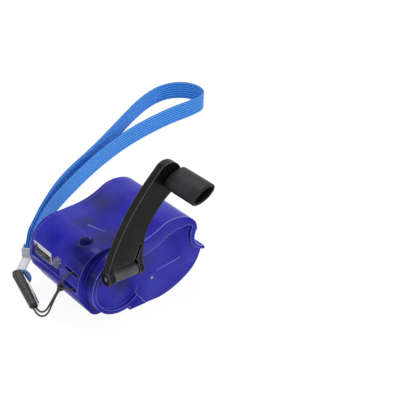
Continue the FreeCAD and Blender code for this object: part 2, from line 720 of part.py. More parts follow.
def build_crank():
    bush_tube = rod_y("bush_tube", "bush_radius", "hub_x", "hub_z", "seat_y", "drive_y - end_play")
    bush_flange = rod_y("bush_flange", "bush_flange_radius", "hub_x", "hub_z",
                        "seat_inner_y", "drive_y - end_play")
    bush_bore = rod_y("bush_bore", "hub_shaft_radius + running_fit", "hub_x", "hub_z",
                      "seat_y - 1", "drive_y + 1")
    bush = cut("crank_bush", join("bush_blank", bush_tube, bush_flange), bush_bore)

    disc_y = "seat_y - end_play - hub_disc_width"
    hub = cut(
        "crank_hub",
        join(
            "hub_blank",
            rod_y("hub_shaft", "hub_shaft_radius", "hub_x", "hub_z", disc_y, "hub_end_y"),
            rod_y("hub_disc", "hub_disc_radius", "hub_x", "hub_z", disc_y, "seat_y - end_play"),
            rod_y("hub_neck", "hub_neck_radius", "hub_x", "hub_z", "barrel_y", disc_y),
            rod("hub_barrel", "barrel_radius", ("barrel_left", "barrel_y", "hub_z"),
                "barrel_length", TURN_TO_X),
        ),
        rod("hub_pin_hole", "hinge_pin_radius + running_fit", ("barrel_left - 1", "barrel_y", "hub_z"),
            "barrel_length + 2", TURN_TO_X),
        tube("hub_clip_groove", "clip_radius", "hub_shaft_radius - 0.4", "hub_x", "hub_z",
             "drive_end_y + end_play / 2", "drive_end_y + end_play * 1.5 + clip_width"),
    )
    clip = cut(
        "crank_clip",
        tube("clip_ring", "clip_radius", "hub_shaft_radius - 0.4 + running_fit / 2", "hub_x", "hub_z",
             "drive_end_y + end_play", "drive_end_y + end_play + clip_width"),
        block("clip_mouth", ("hub_x - 1.2", "hub_x + 1.2"), ("drive_end_y - 1", "hub_end_y + 1"),
              ("hub_z - 5", "hub_z")),
    )
    pin = rod("hinge_pin", "hinge_pin_radius", ("fork_left + 0.2", "barrel_y", "hub_z"),
              "fork_right - fork_left - 0.4", TURN_TO_X)

    hub_x = number("hub_x")
    hub_z = number("hub_z")
    knob_x = number("knob_x")
    knob_z = number("knob_z")
    left = number("fork_left")
    right = number("fork_right")
    arm_outline = chain([
        (left, hub_z),
        (left + 0.2, hub_z + 4.4),
        ((hub_x - 1.4, hub_z + 19.5), (knob_x - 11.4, knob_z - 0.4)),
        (knob_x - 5.4, knob_z + 5.5),
        ((knob_x + 0.0, knob_z + 6.2), (knob_x + 3.6, knob_z + 1.8)),
        ((knob_x + 3.4, knob_z - 2.8), (knob_x - 0.2, knob_z - 6.0)),
        ((hub_x + 14.6, hub_z + 23.6), (hub_x + 9.0, hub_z + 14.2)),
        (right, hub_z + 7.6),
        (right, hub_z),
    ])
    plate = prism("arm_plate", arm_outline, "arm_front_y", "arm_back_y")
    fork_gap = block("arm_fork_gap", ("barrel_left - piece_gap", "barrel_right + piece_gap"),
                     ("arm_front_y - 2", "arm_back_y + 2"),
                     ("hub_z - 6", "hub_z + barrel_radius + fork_clearance"))
    slot = block("arm_slot", ("0", "groove_length"), ("arm_front_y - 1", "arm_front_y + groove_depth"),
                 ("0", "groove_width"))
    settle(slot, "barrel_right + piece_gap - groove_width", "arm_front_y - 1",
           "hub_z + barrel_radius + fork_clearance - 1",
           FreeCAD.Rotation(FreeCAD.Vector(0, 1, 0), -GROOVE_BEARING))
    eyes = [
        rod("arm_left_eye", "eye_radius", ("fork_left", "barrel_y", "hub_z"), "left_leg_width", TURN_TO_X),
        rod("arm_right_eye", "eye_radius", ("fork_right - right_leg_width", "barrel_y", "hub_z"),
            "right_leg_width", TURN_TO_X),
    ]
    arm = cut(
        "crank_arm",
        join("arm_blank", cut("arm_forked", plate, fork_gap, slot), *eyes),
        rod("arm_pin_hole", "hinge_pin_radius + fixed_fit", ("fork_left - 1", "barrel_y", "hub_z"),
            "fork_right - fork_left + 2", TURN_TO_X),
        rod_y("arm_axle_hole", "axle_radius + fixed_fit", "knob_x", "knob_z",
              "arm_front_y - 1", "arm_back_y + 1"),
    )

    axle = join(
        "knob_axle",
        rod_y("axle_stem", "axle_radius", "knob_x", "knob_z",
              "knob_floor_y - end_play - axle_head_width", "arm_back_y"),
        rod_y("axle_head", "axle_head_radius", "knob_x", "knob_z",
              "knob_floor_y - end_play - axle_head_width", "knob_floor_y - end_play"),
    )
    knob_blank = prism("knob_blank", knob_wire(0.0), "knob_y - knob_length", "knob_y")
    knob_mouth = prism("knob_mouth", knob_wire(number("knob_wall")),
                       "knob_y - knob_length - 1", "knob_floor_y")
    knob_bore = rod_y("knob_bore", "axle_radius + running_fit", "knob_x", "knob_z",
                      "knob_y - knob_length - 1", "knob_y + 1")
    knob = cut("crank_knob", knob_blank, knob_mouth, knob_bore)
    return [bush, hub, clip, pin, arm, axle, knob]


def knob_wire(wall):
    """Oval section of the knob about its axle, `wall` inside its outer face."""
    centre = flat(number("knob_x"), number("knob_z"))
    tilt = math.radians(number("knob_tilt"))
    wide = flat(math.cos(tilt), math.sin(tilt)) * (number("knob_half_width") - wall)
    tall = flat(-math.sin(tilt), math.cos(tilt)) * (number("knob_half_height") - wall)
    oval = Part.Ellipse(centre + wide, centre + tall, centre)
    return Part.Wire(oval.toShape())


# ---------------------------------------------------------------- gear train

DRIVE_TURN = 10.0


def build_gears():
    drive_turn = math.radians(DRIVE_TURN)
    pinion_a_turn = meshed(drive_turn, "hub_teeth", "pinion_a_teeth", "hub_x", "hub_z", "ring_x", "ring_z")
    wheel_a_turn = pinion_a_turn
    pinion_b_turn = meshed(wheel_a_turn, "wheel_a_teeth", "pinion_b_teeth",
                           "ring_x", "ring_z", "arbor_b_x", "arbor_b_z")
    wheel_b_turn = pinion_b_turn
    rotor_turn = meshed(wheel_b_turn, "wheel_b_teeth", "rotor_teeth",
                        "arbor_b_x", "arbor_b_z", "rotor_x", "rotor_z")

    drive = cut(
        "drive_gear",
        gear("drive_teeth", "hub_teeth", drive_turn, "hub_x", "hub_z", "drive_y", "drive_end_y"),
        rod_y("drive_bore", "hub_shaft_radius + fixed_fit", "hub_x", "hub_z",
              "drive_y - 1", "drive_end_y + 1"),
    )
    gear_a = cut(
        "gear_a",
        join(
            "gear_a_blank",
            gear("pinion_a_teeth_form", "pinion_a_teeth", pinion_a_turn, "ring_x", "ring_z",
                 "drive_y", "wheel_a_y"),
            gear("wheel_a_teeth_form", "wheel_a_teeth", wheel_a_turn, "ring_x", "ring_z",
                 "wheel_a_y", "wheel_a_end_y"),
            rod_y("gear_a_spacer", "spacer_radius", "ring_x", "ring_z",
                  "wheel_a_end_y", "plate_y - end_play"),
        ),
        rod_y("gear_a_bore", "arbor_radius + running_fit", "ring_x", "ring_z", "drive_y - 1", "plate_y"),
    )
    gear_b_start = "wheel_a_y - wheel_clearance / 2"
    gear_b = cut(
        "gear_b",
        join(
            "gear_b_blank",
            gear("pinion_b_teeth_form", "pinion_b_teeth", pinion_b_turn, "arbor_b_x", "arbor_b_z",
                 gear_b_start, "wheel_b_y"),
            gear("wheel_b_teeth_form", "wheel_b_teeth", wheel_b_turn, "arbor_b_x", "arbor_b_z",
                 "wheel_b_y", "wheel_b_end_y"),
            rod_y("gear_b_spacer", "spacer_radius", "arbor_b_x", "arbor_b_z",
                  "wheel_b_end_y", "plate_y - end_play"),
        ),
        rod_y("gear_b_bore", "arbor_radius + running_fit", "arbor_b_x", "arbor_b_z",
              gear_b_start + " - 1", "plate_y"),
    )
    arbor_start = "seat_inner_y - arbor_seat + end_play"
    arbors = group("gear_axles", [
        rod_y("arbor_a", "arbor_radius", "ring_x", "ring_z", arbor_start, "motor_y"),
        rod_y("arbor_b", "arbor_radius", "arbor_b_x", "arbor_b_z", arbor_start, "motor_y"),
    ])
    rotor_pinion = tube_gear("rotor_pinion", rotor_turn)

    plate_outline = inset(case_outline(), number("shell_wall + piece_gap"))
    plate_blank = overlap(
        "plate_blank",
        prism("plate_slab", plate_outline, "plate_y", "motor_y"),
        block("plate_limit", ("-nose_reach + 4", "notch_reach - 1.3"), ("plate_y - 1", "motor_y + 1"),
              ("1", "crest_height - 2.6")),
    )
    plate_holes = [
        block("plate_lamp_relief",
              ("charge_lamp_x - charge_lamp_radius - 1.2", "charge_lamp_x + charge_lamp_radius + 1.2"),
              ("plate_y - 1", "motor_y + 1"), ("charge_lamp_z - 0.8", "deck_height + 1")),
        block("plate_pocket_relief", ("-nose_reach", "pocket_x + pocket_liner + piece_gap"),
              ("plate_y - 1", "motor_y + 1"),
              ("pocket_bottom - pocket_liner - piece_gap",
               "pocket_bottom + pocket_height + pocket_liner + piece_gap")),
        rod_y("plate_shaft_hole", "motor_bush_radius + running_fit", "rotor_x", "rotor_z", "plate_y - 1",
              "motor_y + 1"),
        rod_y("plate_arbor_a", "arbor_radius + fixed_fit", "ring_x", "ring_z", "plate_y - 1", "motor_y + 1"),
        rod_y("plate_arbor_b", "arbor_radius + fixed_fit", "arbor_b_x", "arbor_b_z",
              "plate_y - 1", "motor_y + 1"),
    ]
    screws = []
    for index, (x, z) in enumerate(PLATE_BOSSES):
        plate_holes.append(rod_y(f"plate_hole_{index}", "screw_radius + 0.2", x, z,
                                 "plate_y - 1", "motor_y + 1"))
        screws.append(screw(f"plate_screw_{index}", (x, "motor_y", z), TURN_TO_FRONT))
    motor_screws = []
    for side in (-1, 1):
        z = f"rotor_z + {side} * motor_screw_place"
        word = "low" if side < 0 else "high"
        plate_holes.append(rod_y(f"plate_motor_{word}", "screw_radius + 0.2", "rotor_x", z,
                                 "plate_y - 1", "motor_y + 1"))
        motor_screws.append(screw(f"motor_screw_{word}", ("rotor_x", "plate_y", z), TURN_TO_Y,
                                  "plate_thickness + 1.6"))
    plate = cut("gear_plate", plate_blank, *plate_holes)
    return [
        drive, gear_a, gear_b, arbors, rotor_pinion, plate,
        group("plate_screws", screws), group("motor_screws", motor_screws),
    ]


def tube_gear(name, turn):
    teeth = gear(name + "_teeth", "rotor_teeth", turn, "rotor_x", "rotor_z",
                 "rotor_pinion_y", "rotor_pinion_y + rotor_pinion_width")
    bore = rod_y(name + "_bore", "rotor_shaft_radius + fixed_fit", "rotor_x", "rotor_z",
                 "rotor_pinion_y - 1", "rotor_pinion_y + rotor_pinion_width + 1")
    return cut(name, teeth, bore)


# ---------------------------------------------------------------- dynamo

def sector(inner, outer, start, end):
    """A ring sector in the XZ plane about the rotor's axis; angles in degrees."""
    x = number("rotor_x")
    z = number("rotor_z")

    def at(radius, angle):
        return (x + radius * math.cos(math.radians(angle)), z + radius * math.sin(math.radians(angle)))

    middle = (start + end) / 2
    return chain([
        at(inner, start),
        at(outer, start),
        (at(outer, middle), at(outer, end)),
        at(inner, end),
        (at(inner, middle), at(inner, start)),
    ])


def build_dynamo():
    can = cut(
        "motor_can",
        rod_y("can_outer", "can_radius", "rotor_x", "rotor_z", "motor_y", "motor_end_y"),
        rod_y("can_inner", "can_radius - can_wall", "rotor_x", "rotor_z",
              "motor_y + can_wall", "motor_end_y + 1"),
        rod_y("can_bush_hole", "motor_bush_radius + fixed_fit", "rotor_x", "rotor_z",
              "motor_y - 1", "motor_y + 2"),
        *[rod_y(f"can_screw_{word}", "screw_hole", "rotor_x", f"rotor_z + {side} * motor_screw_place",
                "motor_y - 1", "motor_y + 2") for side, word in ((-1, "low"), (1, "high"))],
    )
    cap = cut(
        "motor_end_cap",
        rod_y("cap_disc", "can_radius - can_wall - fixed_fit", "rotor_x", "rotor_z",
              "motor_end_y - end_cap_width", "motor_end_y"),
        rod_y("cap_bush_hole", "motor_bush_radius + fixed_fit", "rotor_x", "rotor_z",
              "motor_end_y - 4", "motor_end_y + 1"),
    )
    bushes = group("motor_bushes", [
        tube("front_bush", "motor_bush_radius", "rotor_shaft_radius + running_fit", "rotor_x", "rotor_z",
             "plate_y", "motor_y + can_wall"),
        tube("rear_bush", "motor_bush_radius", "rotor_shaft_radius + running_fit", "rotor_x", "rotor_z",
             "motor_end_y - end_cap_width - 0.4", "motor_end_y + 0.6"),
    ])
    half_arc = number("magnet_angle") / 2
    outer = number("can_radius - can_wall - fixed_fit")
    magnets = group("stator_magnets", [
        prism(f"magnet_{word}", sector(number("magnet_inner"), outer, centre - half_arc, centre + half_arc),
              "magnet_y", "magnet_y + magnet_length")
        for word, centre in (("left", 180.0), ("right", 0.0))
    ])

    arms = []
    shoes = []
    windings = []
    shoe_outer = number("core_radius")
    shoe_inner = number("core_radius - pole_shoe")
    coil_reach = ("sqrt((core_radius - pole_shoe - running_fit) ^ 2 - (winding_width / 2) ^ 2)"
                  " - core_collar - piece_gap")
    for index in range(3):
        angle = 90 + 120 * index
        arm = wound_box(f"pole_arm_{index}", "core_radius - pole_shoe / 2", "pole_arm_width", "core_length",
                        "0", "core_y", angle)
        arms.append(arm)
        shoes.append(prism(f"pole_shoe_{index}", sector(shoe_inner, shoe_outer, angle - 48, angle + 48),
                           "core_y", "core_y + core_length"))
        coil = wound_box(f"coil_{index}", coil_reach, "winding_width", "core_length + 2 * winding_overhang",
                         "core_collar + piece_gap", "core_y - winding_overhang", angle)
        window = wound_box(f"coil_window_{index}", "core_radius", "pole_arm_width + 2 * running_fit",
                           "core_length + 2 * running_fit", "0", "core_y - running_fit", angle)
        windings.append(cut(f"winding_{index}", coil, window))
    collar = rod_y("core_hub", "core_collar", "rotor_x", "rotor_z", "core_y", "core_y + core_length")
    core = cut(
        "rotor_core",
        join("core_blank", collar, *arms, *shoes),
        rod_y("core_bore", "rotor_shaft_radius + fixed_fit", "rotor_x", "rotor_z", "core_y - 1",
              "core_y + core_length + 1"),
    )
    shaft = rod_y("rotor_shaft", "rotor_shaft_radius", "rotor_x", "rotor_z",
                  "rotor_pinion_y - 0.2", "motor_end_y + 0.8")
    return [can, cap, bushes, magnets, core, group("rotor_windings", windings), shaft]


def wound_box(name, radial, breadth, length, start, y_start, angle):
    """A box that runs outward from the rotor's axis at a bearing."""
    item = doc.addObject("Part::Box", name)
    bind(item, "Length", radial)
    bind(item, "Width", length)
    bind(item, "Height", breadth)
    item.Placement = FreeCAD.Placement(FreeCAD.Vector(), FreeCAD.Rotation(FreeCAD.Vector(0, 1, 0), -angle))
    cosine = math.cos(math.radians(angle))
    sine = math.sin(math.radians(angle))
    bind(item, ".Placement.Base.x", f"rotor_x + ({cosine:.9f}) * ({start}) + ({sine:.9f}) * ({breadth}) / 2")
    bind(item, ".Placement.Base.y", y_start)
    bind(item, ".Placement.Base.z", f"rotor_z + ({sine:.9f}) * ({start}) - ({cosine:.9f}) * ({breadth}) / 2")
    return item


# ---------------------------------------------------------------- board and socket

def build_electronics():
    board_holes = [
        rod(f"board_hole_{index}", "screw_radius + 0.2", (x, y, "board_under - 1"),
            "board_thickness + 2", UPRIGHT)
        for index, (x, y) in enumerate(BOARD_POSTS)
    ]
    board = cut(
        "circuit_board",
        block("board_blank", ("board_left", "board_right"), ("board_front", "board_back"),
              ("board_under", "board_top")),
        *board_holes,
    )
    screws = group("board_screws", [
        screw(f"board_screw_{index}", (x, y, "board_top"), TURN_DOWN)
        for index, (x, y) in enumerate(BOARD_POSTS)
    ])
    socket = cut(
        "usb_shell",
        block("socket_outer", ("window_x", "socket_end_x"), ("socket_front", "socket_front + socket_width"),
              ("socket_z - socket_height / 2", "socket_z + socket_height / 2")),
        block("socket_inner", ("window_x - 1", "socket_end_x - socket_sheet"),
              ("socket_front + socket_sheet", "socket_front + socket_width - socket_sheet"),
              ("socket_z - socket_height / 2 + socket_sheet", "socket_z + socket_height / 2 - socket_sheet")),
    )
    tongue = join(
        "usb_tongue",
        block("tongue_plate", ("socket_end_x - socket_sheet - running_fit - tongue_length",
                               "socket_end_x - socket_sheet - running_fit"),
              ("socket_y - tongue_width / 2", "socket_y + tongue_width / 2"),
              ("tongue_z", "tongue_z + tongue_thickness")),
        block("tongue_root_block", ("socket_end_x - socket_sheet - running_fit - tongue_root",
                                    "socket_end_x - socket_sheet - running_fit"),
              ("socket_front + socket_sheet + running_fit",
               "socket_front + socket_width - socket_sheet - running_fit"),
              ("socket_z - socket_height / 2 + socket_sheet + running_fit",
               "socket_z + socket_height / 2 - socket_sheet - running_fit")),
    )
    contacts = group("usb_contacts", [
        block(f"contact_{index}", ("socket_end_x - socket_sheet - tongue_length",
                                   "socket_end_x - socket_sheet - tongue_root - 2 * running_fit"),
              (f"socket_y + ({index - 1.5}) * contact_pitch - contact_width / 2",
               f"socket_y + ({index - 1.5}) * contact_pitch + contact_width / 2"),
              ("tongue_z - 0.3", "tongue_z"))
        for index in range(4)
    ])
    lamp = join(
        "nose_lamp",
        rod("lamp_body", "lamp_radius", ("window_x - 0.3", "lamp_y", "lamp_height"),
            "lamp_length", TURN_TO_X),
        ball("lamp_dome", "lamp_radius", ("window_x - 0.3", "lamp_y", "lamp_height")),
        *[rod(f"lamp_lead_{word}", "0.25", ("window_x + 3.4", f"lamp_y + {side} * 0.9", "board_top"),
              "lamp_height - board_top", UPRIGHT) for side, word in ((-1, "front"), (1, "back"))],
    )
    charge_dome = ball("charge_dome", "charge_lamp_radius",
                       ("charge_lamp_x", "charge_lamp_y", "deck_height - 1.5"))
    charge_dome.Angle1 = 0
    charge_lamp = join(
        "charge_lamp",
        rod("charge_body", "charge_lamp_radius", ("charge_lamp_x", "charge_lamp_y", "charge_lamp_z"),
            "charge_lamp_depth - 0.3", UPRIGHT),
        charge_dome,
    )
    capacitor = rod("capacitor", "capacitor_radius", ("board_left + 22.8", "board_front + 7.7", "board_top"),
                    "capacitor_height", UPRIGHT)
    diodes = group("diodes", [
        block(f"diode_{index}",
              (f"board_left + 11.2 + {index} * diode_pitch",
               f"board_left + 11.2 + {index} * diode_pitch + diode_length"),
              ("board_front + 0.8", "board_front + 0.8 + diode_breadth"),
              ("board_top", "board_top + diode_height"))
        for index in range(4)
    ])
    regulator = block("regulator", ("board_left + 13.6", "board_left + 13.6 + regulator_side"),
                      ("board_front + 5.7", "board_front + 5.7 + regulator_side"),
                      ("board_top", "board_top + regulator_height"))
    inductor = rod("inductor", "inductor_radius", ("board_left + 22.6", "board_back - 3.2", "board_top"),
                   "inductor_height", UPRIGHT)
    wires = group("motor_wires", [
        shaped(f"motor_wire_{index}", wire_solid(index)) for index in range(2)
    ])
    return [
        board, screws, socket, tongue, contacts, lamp, charge_lamp,
        capacitor, diodes, regulator, inductor, wires,
    ]


def wire_solid(index):
    """A lead from the dynamo's end cap, over the board's edge and down on its pad."""
    gap = 2.4 * index
    end = number("motor_end_y")
    room = number("parting_y") - end
    top = number("board_top")
    x = number("rotor_x") - 6.0
    z = number("rotor_z")
    return run_tube(f"motor_wire_{index}", [
        (x, end, z + gap),
        (x, end + 0.26 * room + gap / 2, z + gap),
        (x - 3.0, end + 0.34 * room + gap / 2, z + 2.6 + gap),
        (x - 7.8, end - 1.4 + gap, z + 2.8 + gap),
        (x - 7.8, end - 1.4 + gap, top),
    ], number("wire_radius"))


def ball(name, radius, place):
    item = doc.addObject("Part::Sphere", name)
    bind(item, "Radius", radius)
    return settle(item, *place)


# ---------------------------------------------------------------- lanyard

CORD_ROUTE = [
    (-37.0, 1.25, 1.4),
    (-37.0, -1.6, 0.8),
    (-35.7, -4.1, 2.3),
    (-33.6, -4.5, 5.4),
    (-31.3, -4.8, 9.0),
    (-29.0, -5.2, 12.6),
    (-28.5, -6.9, 16.6),
    (-28.7, -9.6, 20.6),
    (-24.9, -10.4, 20.7),
    (-24.75, -11.6, 14.2),
    (-28.5, -12.2, 14.3),
    (-29.0, -9.2, 13.6),
    (-29.6, -6.4, 12.3),
    (-31.7, -5.9, 9.4),
    (-34.0, -6.1, 5.8),
    (-36.1, -6.3, 2.4),
    (-38.0, -4.6, 0.8),
    (-38.5, -1.4, 0.8),
    (-38.0, 1.6, 1.4),
]

STRAP_ROUTE = [
    (-18.6, 36.0),
    (-6.7, 47.1),
    (4.6, 56.9),
    (22.2, 68.3),
    (52.8, 84.9),
    (81.7, 96.5),
    (112.0, 103.2),
    (131.0, 104.0),
    (141.5, 106.6),
    (145.6, 114.5),
    (143.8, 123.5),
    (136.0, 129.4),
    (124.0, 129.2),
    (106.3, 122.0),
    (80.0, 106.2),
    (54.8, 91.0),
    (25.4, 75.9),
    (4.2, 59.5),
    (-7.7, 48.4),
    (-19.7, 37.2),
]

CLIP_REAR = (-29.7, 27.0)
CLIP_BEARING = 73.0
TAB_START = (-28.6, 27.6)
TAB_BEARING = 43.0


def along_floor(item, base, bearing, shift_along="0", shift_across="0", lift="0"):
    """Turns a box to a bearing on the floor and puts its corner beside a point."""
    turn = math.radians(bearing)
    ahead = (math.cos(turn), math.sin(turn))
    left = (-math.sin(turn), math.cos(turn))
    item.Placement = FreeCAD.Placement(FreeCAD.Vector(), FreeCAD.Rotation(FreeCAD.Vector(0, 0, 1), bearing))
    for axis, prop in enumerate((".Placement.Base.x", ".Placement.Base.y")):
        bind(item, prop, f"{base[axis]} + ({ahead[axis]:.9f}) * ({shift_along})"
             f" + ({left[axis]:.9f}) * ({shift_across})")
    bind(item, ".Placement.Base.z", lift)
    return item


def floor_block(name, length, breadth, height):
    item = doc.addObject("Part::Box", name)
    bind(item, "Length", length)
    bind(item, "Width", breadth)
    bind(item, "Height", height)
    return item


def strap_solid():
    """The webbing stands on its edge: both sides of its path, closed at the ends and carried up."""
    path, radii = rounded_path([(x, y, 0.0) for x, y in STRAP_ROUTE])
    half = number("strap_thickness") / 2
    sides = [path.makeOffset2D(side * half, 0, False, True) for side in (-1, 1)]
    first = [side.OrderedVertexes[0].Point for side in sides]
    last = [side.OrderedVertexes[-1].Point for side in sides]
    edges = sides[0].Edges + sides[1].Edges
    edges.append(Part.LineSegment(first[0], first[1]).toShape())
    edges.append(Part.LineSegment(last[0], last[1]).toShape())
    outline = Part.Wire(Part.__sortEdges__(edges))
    solid = Part.Face(outline).extrude(FreeCAD.Vector(0, 0, number("strap_width")))
    expected = path.Length * 2 * half * number("strap_width")
    print(f"wrist_strap: length {path.Length:.1f}, volume {solid.Volume:.1f} of {expected:.1f},",
          f"smallest radius {min(radii):.1f}")
    return solid


def build_lanyard():
    cord = shaped("lanyard_cord", run_tube("lanyard_cord", CORD_ROUTE, number("cord_radius")))
    strap = shaped("wrist_strap", strap_solid())
    clip = along_floor(floor_block("clip_body", "clip_length", "clip_breadth", "clip_height"),
                       CLIP_REAR, CLIP_BEARING, "-clip_length", "-clip_breadth / 2")
    clip_bevel = along_floor(floor_block("clip_bevel", "clip_length * 0.4", "clip_breadth + 2",
                                         "clip_height"),
                             CLIP_REAR, CLIP_BEARING, "-clip_length * 1.1", "-clip_breadth / 2 - 1",
                             "clip_height * 0.8")
    strap_clip = cut("strap_clip", clip, clip_bevel)
    spring = along_floor(floor_block("clip_spring", "clip_length * 0.62", "spring_breadth",
                                     "clip_height * 0.6"),
                         CLIP_REAR, CLIP_BEARING, "-clip_length * 0.96",
                         "-clip_breadth / 2 - piece_gap - spring_breadth", "0.4")
    tab = along_floor(floor_block("crimp_tab", "tab_length + 0.5", "tab_breadth", "tab_thickness"),
                      TAB_START, TAB_BEARING, "0", "-tab_breadth / 2")
    crimp_block = along_floor(floor_block("crimp_block", "crimp_length", "crimp_breadth", "crimp_height"),
                              TAB_START, TAB_BEARING, "tab_length", "-crimp_breadth / 2")
    crimp_slot = along_floor(floor_block("crimp_slot", "crimp_length", "crimp_breadth - 2 * crimp_wall",
                                         "crimp_height + 2"),
                             TAB_START, TAB_BEARING, "tab_length + 2 * crimp_wall",
                             "crimp_wall - crimp_breadth / 2", "-1")
    crimp = cut("strap_crimp", join("crimp_blank", tab, crimp_block), crimp_slot)
    return [cord, strap_clip, spring, crimp, strap]


nodes = build_case() + build_crank() + build_gears() + build_dynamo() + build_electronics() + build_lanyard()
doc.recompute()

for item in doc.Objects:
    if "Invalid" in item.State or "Error" in item.State:
        raise RuntimeError(f"{item.Name} failed: {item.State}")
for node in nodes:
    if node.Shape.isNull() or not node.Shape.isValid():
        raise RuntimeError(f"{node.Label} has no valid shape")

os.makedirs("parts", exist_ok=True)
for node in nodes:
    node.Shape.exportStep(f"parts/{node.Label}.step")
    print(f"{node.Label}: {len(node.Shape.Solids)} solid(s), {node.Shape.Volume:.1f} mm3")
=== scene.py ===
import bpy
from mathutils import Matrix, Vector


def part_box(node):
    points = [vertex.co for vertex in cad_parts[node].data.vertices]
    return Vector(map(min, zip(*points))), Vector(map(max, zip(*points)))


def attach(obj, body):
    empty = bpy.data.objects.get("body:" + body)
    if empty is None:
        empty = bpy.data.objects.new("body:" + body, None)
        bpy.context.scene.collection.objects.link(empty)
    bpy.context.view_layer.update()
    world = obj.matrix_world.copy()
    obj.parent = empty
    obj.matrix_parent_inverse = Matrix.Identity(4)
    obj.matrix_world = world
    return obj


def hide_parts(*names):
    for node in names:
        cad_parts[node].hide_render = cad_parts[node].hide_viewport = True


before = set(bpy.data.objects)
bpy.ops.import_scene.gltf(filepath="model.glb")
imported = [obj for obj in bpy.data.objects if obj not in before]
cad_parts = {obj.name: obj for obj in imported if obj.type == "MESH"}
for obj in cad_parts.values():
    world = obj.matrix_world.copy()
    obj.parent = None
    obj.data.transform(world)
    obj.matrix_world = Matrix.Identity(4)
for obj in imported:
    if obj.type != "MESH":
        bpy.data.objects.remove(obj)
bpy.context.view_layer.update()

import math

import bmesh
import bpy
import numpy as np
from bpy.props import FloatProperty, FloatVectorProperty, IntProperty, PointerProperty
from bpy.types import Operator, Panel, PropertyGroup
from mathutils import Vector

bl_info = {
    "name": "Hand crank charger",
    "version": (1, 0, 0),
    "blender": (4, 5, 0),
    "location": "3D View > Sidebar > Charger",
    "description": "Dresses the hand crank charger's CAD frame with its surfaces, cord, webbing and stage",
    "category": "Object",
}

MM = 0.001

# Distances in metres within which points are one, on new surfaces and on copies of CAD nodes.
SURFACE_MERGE, CAD_MERGE = 1e-7, 1e-6
# Edges sharper than this are rounded and shaded sharp on copies of CAD nodes.
SHARP_ANGLE = math.radians(38)
# Samples of the rounded normal that tells edges from flat parts, and how far the painted highlight on the
# crank's edges reaches.
EDGE_SAMPLES, EDGE_HIGHLIGHT_REACH = 8, 0.6 * MM
# Distance along the webbing from one slanting pick to the next.
PICK_PITCH = 0.40 * MM

# Control points in millimetres of the two flexible pieces, as in the part's source.
CORD_ROUTE = (
    (-37.0, 1.25, 1.4), (-37.0, -1.6, 0.8), (-35.7, -4.1, 2.3), (-33.6, -4.5, 5.4), (-31.3, -4.8, 9.0),
    (-29.0, -5.2, 12.6), (-28.5, -6.9, 16.6), (-28.7, -9.6, 20.6), (-24.9, -10.4, 20.7),
    (-24.75, -11.6, 14.2), (-28.5, -12.2, 14.3), (-29.0, -9.2, 13.6), (-29.6, -6.4, 12.3),
    (-31.7, -5.9, 9.4), (-34.0, -6.1, 5.8), (-36.1, -6.3, 2.4), (-38.0, -4.6, 0.8), (-38.5, -1.4, 0.8),
    (-38.0, 1.6, 1.4),
)
STRAP_ROUTE = (
    (-18.6, 36.0), (-6.7, 47.1), (4.6, 56.9), (22.2, 68.3), (52.8, 84.9), (81.7, 96.5), (112.0, 103.2),
    (131.0, 104.0), (141.5, 106.6), (145.6, 114.5), (143.8, 123.5), (136.0, 129.4), (124.0, 129.2),
    (106.3, 122.0), (80.0, 106.2), (54.8, 91.0), (25.4, 75.9), (4.2, 59.5), (-7.7, 48.4), (-19.7, 37.2),
)
# The clip's rear end in millimetres, its direction in degrees, and the three points of the blue loop.
CLIP_REAR = (-29.7, 27.0)
CLIP_BEARING = 73.0
LOOP_ROUTE = ((-27.2, 27.6, 1.5), (-26.8, 22.6, 1.7), (-29.2, 18.4, 1.5))


# ---- settings

class CaseSettings(PropertyGroup):
    """Sizes and colours of the two case halves."""
    colour: FloatVectorProperty(name="Plastic", description="Colour of the tinted case", subtype="COLOR",
                                size=4, min=0, max=1, default=(0.010, 0.009, 0.37, 1))
    # Painted shade where the works lie behind the plastic.
    works_shade: FloatVectorProperty(name="Shaded areas", description="Colour where the works show through",
                               subtype="COLOR", size=4, min=0, max=1, default=(0.040, 0.040, 0.130, 1))
    # Painted sheen: lighter patches where light falls on the case.
    painted_sheen: FloatVectorProperty(name="Light areas", description="Colour where light gathers in the plastic",
                               subtype="COLOR", size=4, min=0, max=1, default=(0.060, 0.060, 0.520, 1))
    # Painted shade: nearly black blue patches and the dark crease line on the case.
    thick: FloatVectorProperty(name="Deep areas", description="Colour where the plastic is darkest",
                               subtype="COLOR", size=4, min=0, max=1, default=(0.002, 0.002, 0.070, 1))
    # Painted highlight along the moulded edges and on two light streaks, and how far it reaches.
    glow: FloatVectorProperty(name="Edge glow", description="Colour along the moulded edges",
                              subtype="COLOR", size=4, min=0, max=1, default=(0.52, 0.52, 1.0, 1))
    highlight_reach: FloatProperty(name="Highlight reach", description="How far the edges' colour reaches",
                              unit="LENGTH", min=0, default=0.5 * MM)
    edge: FloatProperty(name="Edge rounding", description="Width of the moulded edge rounding",
                        unit="LENGTH", min=0, default=0.35 * MM)


